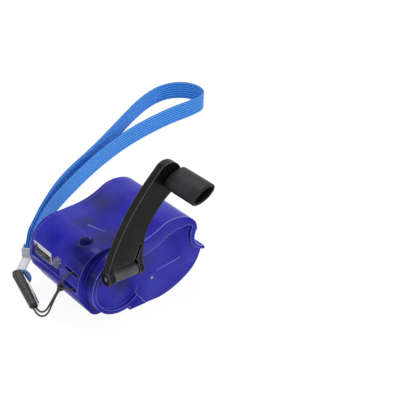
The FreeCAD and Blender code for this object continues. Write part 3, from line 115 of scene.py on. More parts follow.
class CrankSettings(PropertyGroup):
    """Sizes and colours of the hub, the arm and the knob."""
    colour: FloatVectorProperty(name="Crank plastic", description="Colour of the hub and the arm",
                                subtype="COLOR", size=4, min=0, max=1, default=(0.0022, 0.0022, 0.0026, 1))
    # Painted highlight: the hub is a lighter grey than its own dark plastic, to stand in for the barrel's
    # highlight.
    hub_colour: FloatVectorProperty(name="Hub plastic", description="Colour of the polished hub",
                                    subtype="COLOR", size=4, min=0, max=1, default=(0.092, 0.092, 0.094, 1))
    knob_colour: FloatVectorProperty(name="Knob plastic", description="Colour of the knob",
                                     subtype="COLOR", size=4, min=0, max=1, default=(0.020, 0.020, 0.022, 1))
    edge: FloatProperty(name="Edge rounding", description="Width of the arm's edge rounding",
                        unit="LENGTH", min=0, default=0.45 * MM)
    knob_long: FloatProperty(name="Knob half width", description="Half the knob's longer width",
                             unit="LENGTH", min=MM, default=5.8 * MM)
    knob_short: FloatProperty(name="Knob half height", description="Half the knob's shorter width",
                              unit="LENGTH", min=MM, default=2.9 * MM)
    knob_wall: FloatProperty(name="Knob wall", description="Wall round the knob's hollow",
                             unit="LENGTH", min=0, default=1.1 * MM)
    knob_hollow: FloatProperty(name="Knob hollow", description="Depth of the hollow in the knob's end",
                               unit="LENGTH", min=0, default=12.5 * MM)
    knob_bore: FloatProperty(name="Knob bore", description="Radius of the bore on the axle",
                             unit="LENGTH", min=0, default=1.05 * MM)
    knob_tilt: FloatProperty(name="Knob tilt", description="Turn of the oval about its axle",
                             subtype="ANGLE", default=math.radians(24))


class StrapSettings(PropertyGroup):
    """Sizes and colours of the wrist strap, its clip and the thin cord."""
    colour: FloatVectorProperty(name="Webbing", description="Colour of the strap", subtype="COLOR",
                                size=4, min=0, max=1, default=(0.070, 0.35, 0.97, 1))
    width: FloatProperty(name="Webbing width", description="Width of the strap", unit="LENGTH",
                         min=MM, default=10 * MM)
    gathered: FloatProperty(name="Gathered width", description="Width of the strap where the crimp holds it",
                            unit="LENGTH", min=MM, default=4.4 * MM)
    thickness: FloatProperty(name="Webbing thickness", description="Thickness of the strap", unit="LENGTH",
                             min=0, default=1.2 * MM)
    length: FloatProperty(name="Webbing length", description="Length that the strap was cut to",
                          unit="LENGTH", min=MM, default=388.0 * MM)
    ribs: IntProperty(name="Ribs", description="Ribs across the strap", min=1, default=7)
    cord_diameter: FloatProperty(name="Cord diameter", description="Thickness of the looped cord",
                                 unit="LENGTH", min=0, default=0.8 * MM)
    loop_width: FloatProperty(name="Loop width", description="Width of the blue loop beside the clip",
                              unit="LENGTH", min=0, default=2.4 * MM)
    loop_height: FloatProperty(name="Loop height", description="Height of the blue loop beside the clip",
                               unit="LENGTH", min=0, default=2.6 * MM)
    clip_length: FloatProperty(name="Clip length", description="Length of the release clip", unit="LENGTH",
                               min=MM, default=26.4 * MM)
    clip_width: FloatProperty(name="Clip width", description="Width of the clip at its rear", unit="LENGTH",
                              min=MM, default=4.4 * MM)
    clip_height: FloatProperty(name="Clip height", description="Height of the clip at its rear",
                               unit="LENGTH", min=MM, default=3.8 * MM)
    clip_inner: FloatProperty(name="Clip inner side", unit="LENGTH", min=0, default=1.45 * MM,
                              description="Distance of the spring's side from the clip's line")
    clip_rib_pitch: FloatProperty(name="Clip rib pitch", description="Distance between ribs on the clip",
                                  unit="LENGTH", min=0.1 * MM, default=1.3 * MM)
    cord_length: FloatProperty(name="Cord length", description="Length of the looped cord", unit="LENGTH",
                               min=MM, default=65.7 * MM)


class StageSettings(PropertyGroup):
    """The camera, the lamps and the floor."""
    focal_length: FloatProperty(name="Focal length", description="Camera's focal length in millimetres",
                                unit="CAMERA", min=1, default=86.62)
    lamp: FloatProperty(name="Lamp power", description="Share of the lamps' plain level", min=0, default=1)
    floor: FloatProperty(name="Floor", description="Width of the floor", unit="LENGTH", min=0.1, default=6.0)


# Camera's place and line of sight in metres, its shift in shares of the frame's width, and the width of
# its sensor in millimetres.
CAMERA_PLACE = (-0.2028, -0.2831, 0.2441)
CAMERA_SIGHT = (0.4978, 0.6758, -0.5435)
CAMERA_SHIFT = (0.2056, 0.0872)
SENSOR_WIDTH = 36

# Lamps: name, place, the place it is aimed at, width in metres and power in watts.
LAMPS = (
    ("overhead_lamp", (0.10, 0.30, 0.75), (0.0, 0.0, 0.02), 0.30, 1.7),
    ("edge_lamp", (0.42, -0.08, 0.70), (0.0, 0.0, 0.02), 0.16, 1.1),
    ("front_lamp", (0.05, -0.80, 0.40), (0.0, 0.0, 0.03), 0.40, 1.6),
    ("side_lamp", (-0.80, 0.10, 0.40), (0.0, 0.0, 0.02), 0.40, 1.2),
    ("right_lamp", (0.80, -0.18, 0.26), (0.02, 0.0, 0.02), 0.16, 1.1),
)
# Share of plain white in the floor as it is seen, its strength, and the world's strength as a light.
FLOOR_WHITE, FLOOR_STRENGTH, SOFT_LIGHT = 0.88, 1.06, 0.32

SETTINGS = {"charger_case": CaseSettings, "charger_crank": CrankSettings, "charger_strap": StrapSettings,
            "charger_stage": StageSettings}


# ---- node materials

def node(tree, kind, inputs=None, **settings):
    """Add a shader node, set its own settings, and link or set each input."""
    made = tree.nodes.new(kind)
    for key, value in settings.items():
        setattr(made, key, value)
    for key, value in (inputs or {}).items():
        if isinstance(value, bpy.types.NodeSocket):
            tree.links.new(value, made.inputs[key])
        else:
            made.inputs[key].default_value = value
    return made


SOCKETS = {
    "metallic": "Metallic", "roughness": "Roughness", "ior": "IOR", "coat": "Coat Weight",
    "coat_roughness": "Coat Roughness", "sheen": "Sheen Weight", "sheen_roughness": "Sheen Roughness",
    "transmission": "Transmission Weight", "specular": "Specular IOR Level",
}


def plain_finish(name, **constants):
    """Start a material. Values that are the same all over go on the shader's own sockets."""
    material = bpy.data.materials.new(name)
    material.use_nodes = True
    tree = material.node_tree
    shader = tree.nodes["Principled BSDF"]
    for key, value in constants.items():
        shader.inputs[SOCKETS[key]].default_value = value
    return material, tree, shader


def own_place(tree):
    """Object coordinates, in metres."""
    return node(tree, "ShaderNodeTexCoord").outputs["Object"]


def object_place(tree, scale=(1, 1, 1), turn=(0, 0, 0)):
    """Object coordinates, stretched and turned."""
    return node(tree, "ShaderNodeMapping", {"Vector": own_place(tree), "Scale": scale,
                                            "Rotation": turn}).outputs[0]


def noise(tree, place, scale, detail=3.0, roughness=0.5):
    """Cloudy noise from 0 to 1."""
    return node(tree, "ShaderNodeTexNoise", {"Vector": place, "Scale": scale, "Detail": detail,
                                             "Roughness": roughness}).outputs["Fac"]


def spread(tree, value, low, high, to_low=0.0, to_high=1.0, smooth=False):
    """The value's range low..high carried over to another range, evenly or in a smooth step, and held
    at its ends."""
    return node(tree, "ShaderNodeMapRange", {"Value": value, "From Min": low, "From Max": high,
                                             "To Min": to_low, "To Max": to_high},
                interpolation_type="SMOOTHSTEP" if smooth else "LINEAR").outputs[0]


def waves(tree, place, scale, distortion, direction="X", detail=2.0):
    """Bands side by side along an axis, from 0 to 1."""
    return node(tree, "ShaderNodeTexWave", {"Vector": place, "Scale": scale, "Distortion": distortion,
                                            "Detail": detail}, bands_direction=direction).outputs["Fac"]


def mixed(tree, factor, first, second):
    """Colour that goes from first to second as the factor goes from 0 to 1."""
    return node(tree, "ShaderNodeMix", {0: factor, 6: first, 7: second}, data_type="RGBA").outputs[2]


def paint(tree, shader, colour, roughness=None):
    """Give the shader a colour and, where it varies, a roughness."""
    tree.links.new(colour, shader.inputs["Base Color"])
    if roughness is not None:
        tree.links.new(roughness, shader.inputs["Roughness"])


def calc(tree, operation, *values):
    """Result of a Math node on one, two or three values."""
    return node(tree, "ShaderNodeMath", dict(enumerate(values)), operation=operation).outputs[0]


def vector_calc(tree, operation, first, second, output="Value"):
    """Result of a Vector Math node on two vectors."""
    return node(tree, "ShaderNodeVectorMath", {0: first, 1: second}, operation=operation).outputs[output]


def bump(tree, shader, height, distance, strength):
    """Raise the surface by the height, at most by the distance in metres."""
    raised = node(tree, "ShaderNodeBump", {"Height": height, "Distance": distance, "Strength": strength})
    tree.links.new(raised.outputs[0], shader.inputs["Normal"])


def near(tree, centre, reach):
    """1 at a point of the object, falling smoothly to 0 at the reach, both in millimetres."""
    gap = vector_calc(tree, "DISTANCE", own_place(tree), MM * Vector(centre))
    return spread(tree, gap, 0, MM * reach, 1, 0, smooth=True)


def edge_bend(tree, radius):
    """1 on flat parts and less towards an edge: the dot product of the normal, rounded over the radius,
    with the true one."""
    rounded = node(tree, "ShaderNodeBevel", {"Radius": radius}, samples=EDGE_SAMPLES).outputs[0]
    return vector_calc(tree, "DOT_PRODUCT", rounded, node(tree, "ShaderNodeNewGeometry").outputs["Normal"])


# Places in millimetres, each with its reach: painted shade where the works lie behind the plastic, painted
# shade in nearly black blue patches, and painted sheen in light patches.
WORKS_SHADE = (
    ((-10.0, -8.5, 29.0), 12.0), ((6.0, 12.8, 30.0), 14.0), ((-9.0, 6.0, 29.7), 9.0),
    ((0.5, -19.0, 19.0), 10.0), ((-9.0, -19.0, 13.0), 8.0),
)
DEEP_SHADE = (
    ((-24.0, -14.0, 28.5), 13.0), ((-33.0, -16.5, 23.5), 9.0), ((-22.5, -18.0, 20.5), 8.0),
    ((-20.5, -7.5, 29.7), 10.0), ((-33.0, 12.0, 27.0), 8.0),
)
SHEEN_PATCHES = (
    ((-6.5, 14.5, 30.5), 11.0), ((9.9, 13.1, 38.0), 10.0), ((15.9, -11.7, 38.0), 10.0),
    ((5.8, -19.0, 6.4), 10.0), ((-10.5, -19.0, 5.3), 8.0),
)
# The painted highlight on the small pip on the front face, and the painted highlight on the charge lamp's
# dome, each with its reach.
PIP_HIGHLIGHT = ((6.5, -19.3, 9.9), 0.9)
DOME_HIGHLIGHT = ((-14.7, -6.2, 30.2), 1.3)

# Lines in millimetres: two ends and half the width. The light ones are painted highlights, the dark one is
# painted shade in a crease.
HIGHLIGHT_LINES = (
    ((-9.2, 3.3, 29.8), (-6.8, -5.2, 29.8), 0.35), ((9.3, -19.0, 12.4), (21.4, -19.0, 14.0), 0.25),
)
CREASE_SHADE_LINE = ((-29.0, -8.2, 29.5), (-29.0, -5.3, 17.5), 0.4)

# How the painted highlight along the edges grows towards the front face (on Y) and the nose (on X): between
# two places in metres, from one share to another.
FRONT_EDGE_HIGHLIGHT = (-18.0 * MM, -20.0 * MM, 0.25, 0.9)
NOSE_EDGE_HIGHLIGHT = (-24.0 * MM, -26.0 * MM, 0.25, 0.5)


def strongest(tree, places):
    """The largest of the falls round several places."""
    most, *others = [near(tree, centre, reach) for centre, reach in places]
    for other in others:
        most = calc(tree, "MAXIMUM", most, other)
    return most


def streak(tree, start, end, half_width):
    """1 on the line between two points, falling smoothly to 0 at half the width from it, in
    millimetres."""
    start, run = MM * Vector(start), MM * (Vector(end) - Vector(start))
    away = vector_calc(tree, "SUBTRACT", own_place(tree), start, "Vector")
    share = spread(tree, vector_calc(tree, "DOT_PRODUCT", away, run / run.length_squared), 0, 1)
    foot = node(tree, "ShaderNodeVectorMath", {"Vector": run, "Scale": share}, operation="SCALE").outputs[0]
    return spread(tree, vector_calc(tree, "DISTANCE", away, foot), 0, MM * half_width, 1, 0, smooth=True)


def case_plastic(settings):
    """Tinted translucent plastic: deeper and lighter clouds, painted shade where the works lie behind it and
    in nearly black blue patches and a crease, painted sheen in light patches, and painted highlights along
    the edges, on two streaks and on a pip."""
    material, tree, shader = plain_finish("case_tinted_plastic", ior=1.47, coat=0.04, coat_roughness=0.06,
                                          specular=0.10)
    place = object_place(tree)
    cloud = spread(tree, noise(tree, place, 55.0, 1.5), 0.32, 0.68)
    base = tuple(settings.colour)
    light = (5.0 * base[0], 5.0 * base[1], min(1.0, 1.35 * base[2]), 1)
    body = mixed(tree, cloud, base, light)
    # Painted shade where the works lie behind the plastic.
    works_shade = calc(tree, "MULTIPLY", strongest(tree, WORKS_SHADE), spread(tree, cloud, 0, 1, 0.9, 0.6))
    body = mixed(tree, works_shade, body, tuple(settings.works_shade))
    # Painted shade in nearly black blue patches, then painted sheen in light patches.
    for places, most, colour in ((DEEP_SHADE, 0.9, settings.thick), (SHEEN_PATCHES, 0.8, settings.painted_sheen)):
        body = mixed(tree, spread(tree, strongest(tree, places), 0, 1, 0, most), body, tuple(colour))
    # Painted shade along a crease on the nose.
    body = mixed(tree, streak(tree, *CREASE_SHADE_LINE), body, tuple(settings.thick))
    # Painted highlights on two streaks.
    for line in HIGHLIGHT_LINES:
        body = mixed(tree, spread(tree, streak(tree, *line), 0, 1, 0, 0.7), body, tuple(settings.glow))
    # Painted highlight on the small pip.
    body = mixed(tree, near(tree, *PIP_HIGHLIGHT), body, (0.75, 0.76, 0.82, 1))
    # Painted highlight along the moulded edges, stronger towards the front face and the nose.
    axes = node(tree, "ShaderNodeSeparateXYZ", {"Vector": place})
    most = calc(tree, "MAXIMUM", spread(tree, axes.outputs["Y"], *FRONT_EDGE_HIGHLIGHT),
                spread(tree, axes.outputs["X"], *NOSE_EDGE_HIGHLIGHT))
    share = calc(tree, "MULTIPLY", spread(tree, edge_bend(tree, settings.highlight_reach), 0.99, 0.85), most)
    paint(tree, shader, mixed(tree, share, body, tuple(settings.glow)),
          spread(tree, noise(tree, place, 400.0), 0.3, 0.7, 0.26, 0.34))
    return material


def satin_plastic(name, colour, roughness=0.36, grain=1800.0, depth=0.00003, edge=0.0):
    """Dark moulded plastic with a fine grain, slightly worn, lighter patches and, where asked, a painted
    highlight along its edges.
    """
    material, tree, shader = plain_finish(name, ior=1.5, specular=0.14, coat=0.04, coat_roughness=0.12)
    place = object_place(tree)
    worn = spread(tree, noise(tree, place, 160.0, 5.0), 0.45, 0.75)
    light = tuple(min(1.0, 1.7 * part + 0.004) for part in colour[:3]) + (1,)
    body = mixed(tree, worn, colour, light)
    if edge:
        # Painted highlight along the edges.
        edge_highlight = spread(tree, edge_bend(tree, EDGE_HIGHLIGHT_REACH), 0.985, 0.88, 0.0, edge)
        body = mixed(tree, edge_highlight, body, (0.34, 0.34, 0.35, 1))
    paint(tree, shader, body,
          spread(tree, noise(tree, place, 420.0), 0.3, 0.7, roughness - 0.06, roughness + 0.08))
    bump(tree, shader, noise(tree, place, grain, 2.0), depth, 0.6)
    return material


def brushed_metal(name, colour, roughness=0.3, stretch=(40.0, 1.0, 40.0), scale=90.0):
    """Metal with fine marks drawn along one axis."""
    material, tree, shader = plain_finish(name, metallic=1.0)
    lines = noise(tree, object_place(tree, stretch), scale, 4.0, 0.6)
    dull = tuple(0.72 * part for part in colour[:3]) + (1,)
    paint(tree, shader, mixed(tree, spread(tree, lines, 0.35, 0.65), dull, colour),
          spread(tree, lines, 0.3, 0.7, roughness - 0.08, roughness + 0.12))
    bump(tree, shader, lines, 0.00001, 0.5)
    return material


def wound_copper():
    """Enamelled wire: fine turns side by side along the rotor's axis."""
    material, tree, shader = plain_finish("wound_copper", metallic=1.0, coat=0.5, coat_roughness=0.15)
    turns = waves(tree, object_place(tree), 1400.0, 0.6, detail=1.0)
    paint(tree, shader, mixed(tree, turns, (0.30, 0.10, 0.035, 1), (0.78, 0.36, 0.16, 1)),
          spread(tree, turns, 0, 1, 0.42, 0.24))
    bump(tree, shader, turns, 0.0001, 0.8)
    return material


def speckled(name, dark, light, scale, roughness, depth=0.00003, metallic=0.0):
    """Sintered, cast or moulded body with two mixed shades and a pitted surface."""
    material, tree, shader = plain_finish(name, metallic=metallic)
    place = object_place(tree)
    grain = noise(tree, place, scale, 4.0, 0.6)
    paint(tree, shader, mixed(tree, spread(tree, grain, 0.3, 0.7), dark, light),
          spread(tree, noise(tree, place, scale * 0.3), 0.3, 0.7, roughness - 0.07, roughness + 0.1))
    bump(tree, shader, grain, depth, 0.7)
    return material


def circuit_finish():
    """Green solder resist over darker tracks and small tinned pads."""
    material, tree, shader = plain_finish("circuit_resist", coat=0.4, coat_roughness=0.1)
    place = object_place(tree)
    tracks = node(tree, "ShaderNodeTexBrick", {
        "Vector": place, "Scale": 260.0, "Mortar Size": 0.03, "Color1": (0.02, 0.17, 0.07, 1),
        "Color2": (0.03, 0.24, 0.10, 1), "Mortar": (0.008, 0.09, 0.035, 1)}).outputs["Color"]
    cells = node(tree, "ShaderNodeTexVoronoi", {"Vector": place, "Scale": 380.0}).outputs["Distance"]
    pads = spread(tree, cells, 0.10, 0.16, 1.0, 0.0)
    paint(tree, shader, mixed(tree, pads, tracks, (0.55, 0.56, 0.56, 1)),
          spread(tree, pads, 0, 1, 0.42, 0.28))
    bump(tree, shader, pads, 0.00005, 0.6)
    return material


def clear_lens():
    """Clear moulded lens, faintly blue and cloudy."""
    material, tree, shader = plain_finish("clear_lens", ior=1.49, transmission=0.85)
    place = object_place(tree)
    cloud = noise(tree, place, 700.0, 3.0)
    paint(tree, shader, mixed(tree, cloud, (0.42, 0.46, 0.78, 1), (0.80, 0.84, 0.98, 1)),
          spread(tree, cloud, 0.3, 0.7, 0.02, 0.12))
    bump(tree, shader, noise(tree, place, 400.0, 1.0), 0.00001, 0.1)
    return material


def lamp_dome():
    """Dark blue translucent lamp with a deeper core and a small painted highlight."""
    material, tree, shader = plain_finish("charge_lamp_dome", ior=1.45, specular=0.07)
    low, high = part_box("charge_lamp")
    core = near(tree, (low + high) / 2 / MM, (high.x - low.x) / 2 / MM)
    cloud = spread(tree, noise(tree, object_place(tree), 300.0), 0.3, 0.7, 0.0, 0.25)
    body = mixed(tree, calc(tree, "ADD", core, cloud), (0.003, 0.002, 0.09, 1), (0.001, 0.0006, 0.03, 1))
    # Painted highlight on the dome.
    paint(tree, shader, mixed(tree, near(tree, *DOME_HIGHLIGHT), body, (0.30, 0.28, 0.72, 1)),
          spread(tree, cloud, 0.0, 0.25, 0.32, 0.38))
    return material


def socket_metal():
    """Plated sheet, bright at the socket's lips and dark with shade further in."""
    material, tree, shader = plain_finish("plated_shell", metallic=1.0)
    inward = node(tree, "ShaderNodeSeparateXYZ", {"Vector": own_place(tree)}).outputs["X"]
    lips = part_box("usb_shell")[0].x
    lines = noise(tree, object_place(tree, (1.0, 30.0, 30.0)), 90.0, 4.0, 0.6)
    bright = mixed(tree, lines, (0.70, 0.70, 0.72, 1), (0.86, 0.86, 0.87, 1))
    shade = spread(tree, inward, lips + 2.0 * MM, lips + 9.0 * MM)
    paint(tree, shader, mixed(tree, shade, bright, (0.02, 0.02, 0.022, 1)),
          spread(tree, lines, 0.3, 0.7, 0.20, 0.34))
    bump(tree, shader, lines, 0.00001, 0.4)
    return material


def link_plastic():
    """Milky plastic of the flat link: pale, faintly marbled and a little clear."""
    material, tree, shader = plain_finish("milky_link", ior=1.46, transmission=0.25, specular=0.4)
    place = object_place(tree)
    marble = noise(tree, place, 260.0, 4.0, 0.6)
    paint(tree, shader, mixed(tree, marble, (0.66, 0.67, 0.68, 1), (0.90, 0.91, 0.92, 1)),
          spread(tree, noise(tree, place, 600.0), 0.3, 0.7, 0.28, 0.42))
    bump(tree, shader, marble, 0.00004, 0.5)
    return material


def ribbed_grip(settings):
    """Black moulded plastic, rubbed paler in patches, with darker bands of grime across the clip."""
    material, tree, shader = plain_finish("clip_plastic", ior=1.5, specular=0.4)
    place = object_place(tree, turn=(0, 0, math.radians(90 - CLIP_BEARING)))
    grime = waves(tree, place, 0.05 / settings.clip_rib_pitch, 0.8, "Y")
    worn = spread(tree, noise(tree, place, 300.0, 4.0), 0.4, 0.7)
    black = mixed(tree, worn, (0.007, 0.007, 0.0075, 1), (0.034, 0.035, 0.032, 1))
    paint(tree, shader, mixed(tree, spread(tree, grime, 0, 1, 0, 0.4), black, (0.003, 0.003, 0.003, 1)),
          spread(tree, worn, 0, 1, 0.34, 0.48))
    bump(tree, shader, noise(tree, place, 1500.0, 2.0), 0.00003, 0.5)
    return material


def braided_cord():
    """Thin black braid: two sets of crossing strands at an angle to the cord."""
    material, tree, shader = plain_finish("braided_cord", sheen=0.25, sheen_roughness=0.5, roughness=0.6)
    strands = calc(tree, "MAXIMUM", *(waves(tree, object_place(tree, turn=(turn, turn, turn)), 1500.0, 0.8)
                                      for turn in (0.8, -0.8)))
    paint(tree, shader, mixed(tree, strands, (0.004, 0.004, 0.005, 1), (0.030, 0.030, 0.034, 1)))
    bump(tree, shader, strands, 0.0001, 0.7)
    return material


def webbing_finish(settings):
    """Woven strap: deep lengthwise ribs with painted shade in their grooves, and fine slanting picks, read
    from the strap's own UV map.
    U runs along the strap and V across it, both in metres."""
    material, tree, shader = plain_finish("blue_webbing", sheen=0.05, sheen_roughness=0.4, roughness=0.6,
                                          specular=0.2)
    weave = node(tree, "ShaderNodeUVMap", uv_map="weave").outputs[0]
    along, across, _ = node(tree, "ShaderNodeSeparateXYZ", {"Vector": weave}).outputs
    pitch = settings.width / settings.ribs
    phase = calc(tree, "MULTIPLY", across, 2 * math.pi / pitch)
    groove = spread(tree, calc(tree, "COSINE", phase), 0.30, 0.98)
    slant = calc(tree, "MULTIPLY", calc(tree, "ADD", along, across), 2 * math.pi / PICK_PITCH)
    picks = spread(tree, calc(tree, "SINE", slant), -1.0, 1.0)
    base = tuple(settings.colour)
    # Painted shade in the grooves between the ribs.
    dark = (base[0] * 0.12, base[1] * 0.22, base[2] * 0.34, 1)
    light = (base[0] + 0.04, base[1] + 0.08, min(1.0, base[2] + 0.06), 1)
    fibre = spread(tree, noise(tree, object_place(tree), 1200.0, 4.0), 0.3, 0.7, 0.0, 0.6)
    woven = mixed(tree, picks, base, light)
    woven = mixed(tree, fibre, woven, base)
    paint(tree, shader, mixed(tree, groove, woven, dark))
    height = calc(tree, "MULTIPLY_ADD", picks, 0.25, spread(tree, groove, 0, 1, 1, 0))
    bump(tree, shader, height, 0.00008, 0.6)
    return material


# ---- meshes

def unit(vectors):
    """The vectors of the last axis, each made one long."""
    return vectors / np.linalg.norm(vectors, axis=-1, keepdims=True)


def level_side(line):
    """Level direction square to a line at each of its points."""
    ahead = np.gradient(line, axis=0)
    return unit(np.stack((-ahead[:, 1], ahead[:, 0], np.zeros(len(ahead))), axis=1))


def capped(grid):
    """The grid with its first and last rings closed in poles at their middles."""
    first, last = (ring.mean(axis=1, keepdims=True).repeat(grid.shape[1], axis=1)
                   for ring in (grid[:1], grid[-1:]))
    return np.concatenate((first, grid, last))


def full_turn(points):
    """Angles at even steps round a ring."""
    return np.linspace(0, 2 * math.pi, points, endpoint=False)


def merge(mesh, source, distance, outward=False):
    """Fill a mesh with a source's faces, their doubles merged, smooth, and turned outwards if asked."""
    work = bmesh.new()
    work.from_mesh(source)
    bmesh.ops.remove_doubles(work, verts=work.verts, dist=distance)
    if outward:
        bmesh.ops.recalc_face_normals(work, faces=work.faces)
    work.to_mesh(mesh)
    work.free()
    mesh.shade_smooth()


def grid_mesh(name, grid, uv=None, closed_profile=False):
    """Mesh of a surface given as a grid of points: rows go along the piece, and each row's points go
    round it. Neighbouring rows and points are joined by quads, the last row to the first where the
    profile is closed, rows of one repeated point close into a pole, and every face is turned outwards."""
    rows, columns = grid.shape[:2]
    down, across = np.meshgrid(np.arange(rows if closed_profile else rows - 1), np.arange(columns),
                               indexing="ij")
    below, right = (down + 1) % rows, (across + 1) % columns
    corners = ((down, across), (down, right), (below, right), (below, across))
    faces = np.stack([(row * columns + column).ravel() for row, column in corners], axis=1)
    mesh = bpy.data.meshes.new(name)
    mesh.from_pydata(grid.reshape(-1, 3), [], faces.tolist())
    if uv is not None:
        layer = mesh.uv_layers.new(name="weave")
        layer.data.foreach_set("uv", uv(faces, columns).astype(np.float32).ravel())
    merge(mesh, mesh, SURFACE_MERGE, outward=True)
    return mesh


def add_piece(name, data, material, body, replaced):
    """Put a mesh or a curve in the scene as a piece that rides on a body and stands for CAD nodes."""
    piece = bpy.data.objects.new(name, data)
    bpy.context.scene.collection.objects.link(piece)
    data.materials.append(material)
    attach(piece, body)
    if replaced:
        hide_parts(*replaced)
    return piece


def rounded_copy(name, source, material, body, width):
    """Copy of a CAD node with its doubles merged and its sharp edges rounded by a Bevel."""
    mesh = bpy.data.meshes.new(name)
    merge(mesh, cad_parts[source].data, CAD_MERGE)
    mesh.set_sharp_from_angle(angle=SHARP_ANGLE)
    bevel = add_piece(name, mesh, material, body, [source]).modifiers.new("edge_rounding", "BEVEL")
    bevel.width = width
    bevel.segments = 2
    bevel.limit_method = "ANGLE"
    bevel.angle_limit = SHARP_ANGLE
    bevel.harden_normals = True


def dress(names, material):
    """Give CAD nodes that stay a better material in their own slots."""
    for name in names:
        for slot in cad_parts[name].material_slots:
            slot.material = material


def flexible_curve(name, points):
    """Curve of one NURBS spline of order 3 that starts and ends at its first and last points."""
    data = bpy.data.curves.new(name, "CURVE")
    data.dimensions = "3D"
    spline = data.splines.new("NURBS")
    spline.points.add(len(points) - 1)
    weighted = np.column_stack((MM * np.array(points), np.ones(len(points))))
    spline.points.foreach_set("co", weighted.astype(np.float32).ravel())
    spline.order_u = 3
    spline.use_endpoint_u = True
    return data


def route_line(points, steps):
    """Points at even distances along the NURBS line of a route, and those distances."""
    data = flexible_curve("route_line", points)
    data.resolution_u = 24
    holder = bpy.data.objects.new("route_line", data)
    bpy.context.scene.collection.objects.link(holder)
    mesh = bpy.data.meshes.new_from_object(holder.evaluated_get(bpy.context.evaluated_depsgraph_get()))
    line = np.empty(len(mesh.vertices) * 3)
    mesh.vertices.foreach_get("co", line)
    line = line.reshape(-1, 3)
    bpy.data.objects.remove(holder)
    bpy.data.curves.remove(data)
    bpy.data.meshes.remove(mesh)
    reach = np.concatenate(([0.0], np.cumsum(np.linalg.norm(np.diff(line, axis=0), axis=1))))
    even = np.linspace(0.0, reach[-1], steps)
    return np.stack([np.interp(even, reach, line[:, axis]) for axis in range(3)], axis=1), even


def build_webbing(settings):
    """Wrist strap. A closed profile is carried along the route on its edge: across the strap its
    half thickness is a rounded-end oval times one less a cosine of the rib pitch, so each face has
    lengthwise ribs. Near each end its width is narrowed by a smooth step to that in the crimp."""
    line, reach = route_line([(x, y, 0) for x, y in STRAP_ROUTE], 320)
    points_per_rib, groove_depth, end_round, taper = 6, 0.36, 0.45 * MM, 9 * MM
    half = settings.width / 2
    across = np.linspace(-1, 1, points_per_rib * settings.ribs + 1)
    ends = np.clip((1 - np.abs(across)) * half / end_round, 0, 1)
    bulge = np.sqrt(1 - (1 - ends) ** 2)
    ribbed = 1 - groove_depth * (0.5 + 0.5 * np.cos(math.pi * settings.ribs * (across + 1)))
    thick = settings.thickness / 2 * bulge * ribbed
    profile_out = np.concatenate((thick, -thick[-2:0:-1]))
    profile_up = np.concatenate((across, across[-2:0:-1])) * half + half
    free = np.clip(np.minimum(reach, reach[-1] - reach) / taper, 0, 1)
    share = settings.gathered / settings.width
    narrowed = share + (1 - share) * free ** 2 * (3 - 2 * free)
    grid = line[:, None, :] + level_side(line)[:, None, :] * profile_out[None, :, None]
    grid[:, :, 2] += narrowed[:, None] * profile_up[None, :]
    along = np.concatenate(([reach[0]], reach, [reach[-1]]))

    def weave_map(faces, columns):
        """U is the distance along the strap and V the height across it."""
        return np.stack((along[faces // columns], profile_up[faces % columns]), axis=-1)

    mesh = grid_mesh("wrist_strap_webbing", capped(grid), uv=weave_map)
    piece = add_piece("wrist_strap_webbing", mesh, webbing_finish(settings), "case", ["wrist_strap"])


def build_cord(settings):
    """Thin cord hitched round the case's bar and back into the clip."""
    data = flexible_curve("looped_cord", CORD_ROUTE)
    data.bevel_depth = settings.cord_diameter / 2
    data.bevel_resolution = 4
    data.resolution_u = 12
    data.use_fill_caps = True
    piece = add_piece("looped_cord", data, braided_cord(), "case", ["lanyard_cord"])
    build_knot(settings)


def tube_grid(line, radius):
    """Rings about a line: each ring is the line's point plus the radius times the cosine and the sine
    round two directions square to the line, and the ends close into poles."""
    ahead = unit(np.gradient(line, axis=0))
    side = unit(np.cross(ahead, (0.0, 0.0, 1.0)))
    rise = np.cross(side, ahead)
    around = full_turn(12)[None, :, None]
    return capped(line[:, None, :]
                  + radius * (side[:, None, :] * np.cos(around) + rise[:, None, :] * np.sin(around)))


def build_knot(settings):
    """Knot where both strands meet: a helix of two turns about the strands' direction, its radius one
    and a half cord diameters, swept by the cord's own section."""
    centre = MM * (np.array(CORD_ROUTE[5]) + np.array(CORD_ROUTE[12])) / 2
    along = unit(np.array(CORD_ROUTE[5]) - np.array(CORD_ROUTE[4]))
    side = unit(np.cross(along, (0.0, 1.0, 0.0)))
    front = np.cross(along, side)
    turn = np.linspace(0, 4 * math.pi, 64)[:, None]
    out = 1.5 * settings.cord_diameter
    line = (centre + out * (side * np.cos(turn) + front * np.sin(turn))
            + along * settings.cord_diameter * (turn / (2 * math.pi) - 1))
    mesh = grid_mesh("cord_knot", tube_grid(line, settings.cord_diameter / 2))
    return add_piece("cord_knot", mesh, braided_cord(), "case", [])


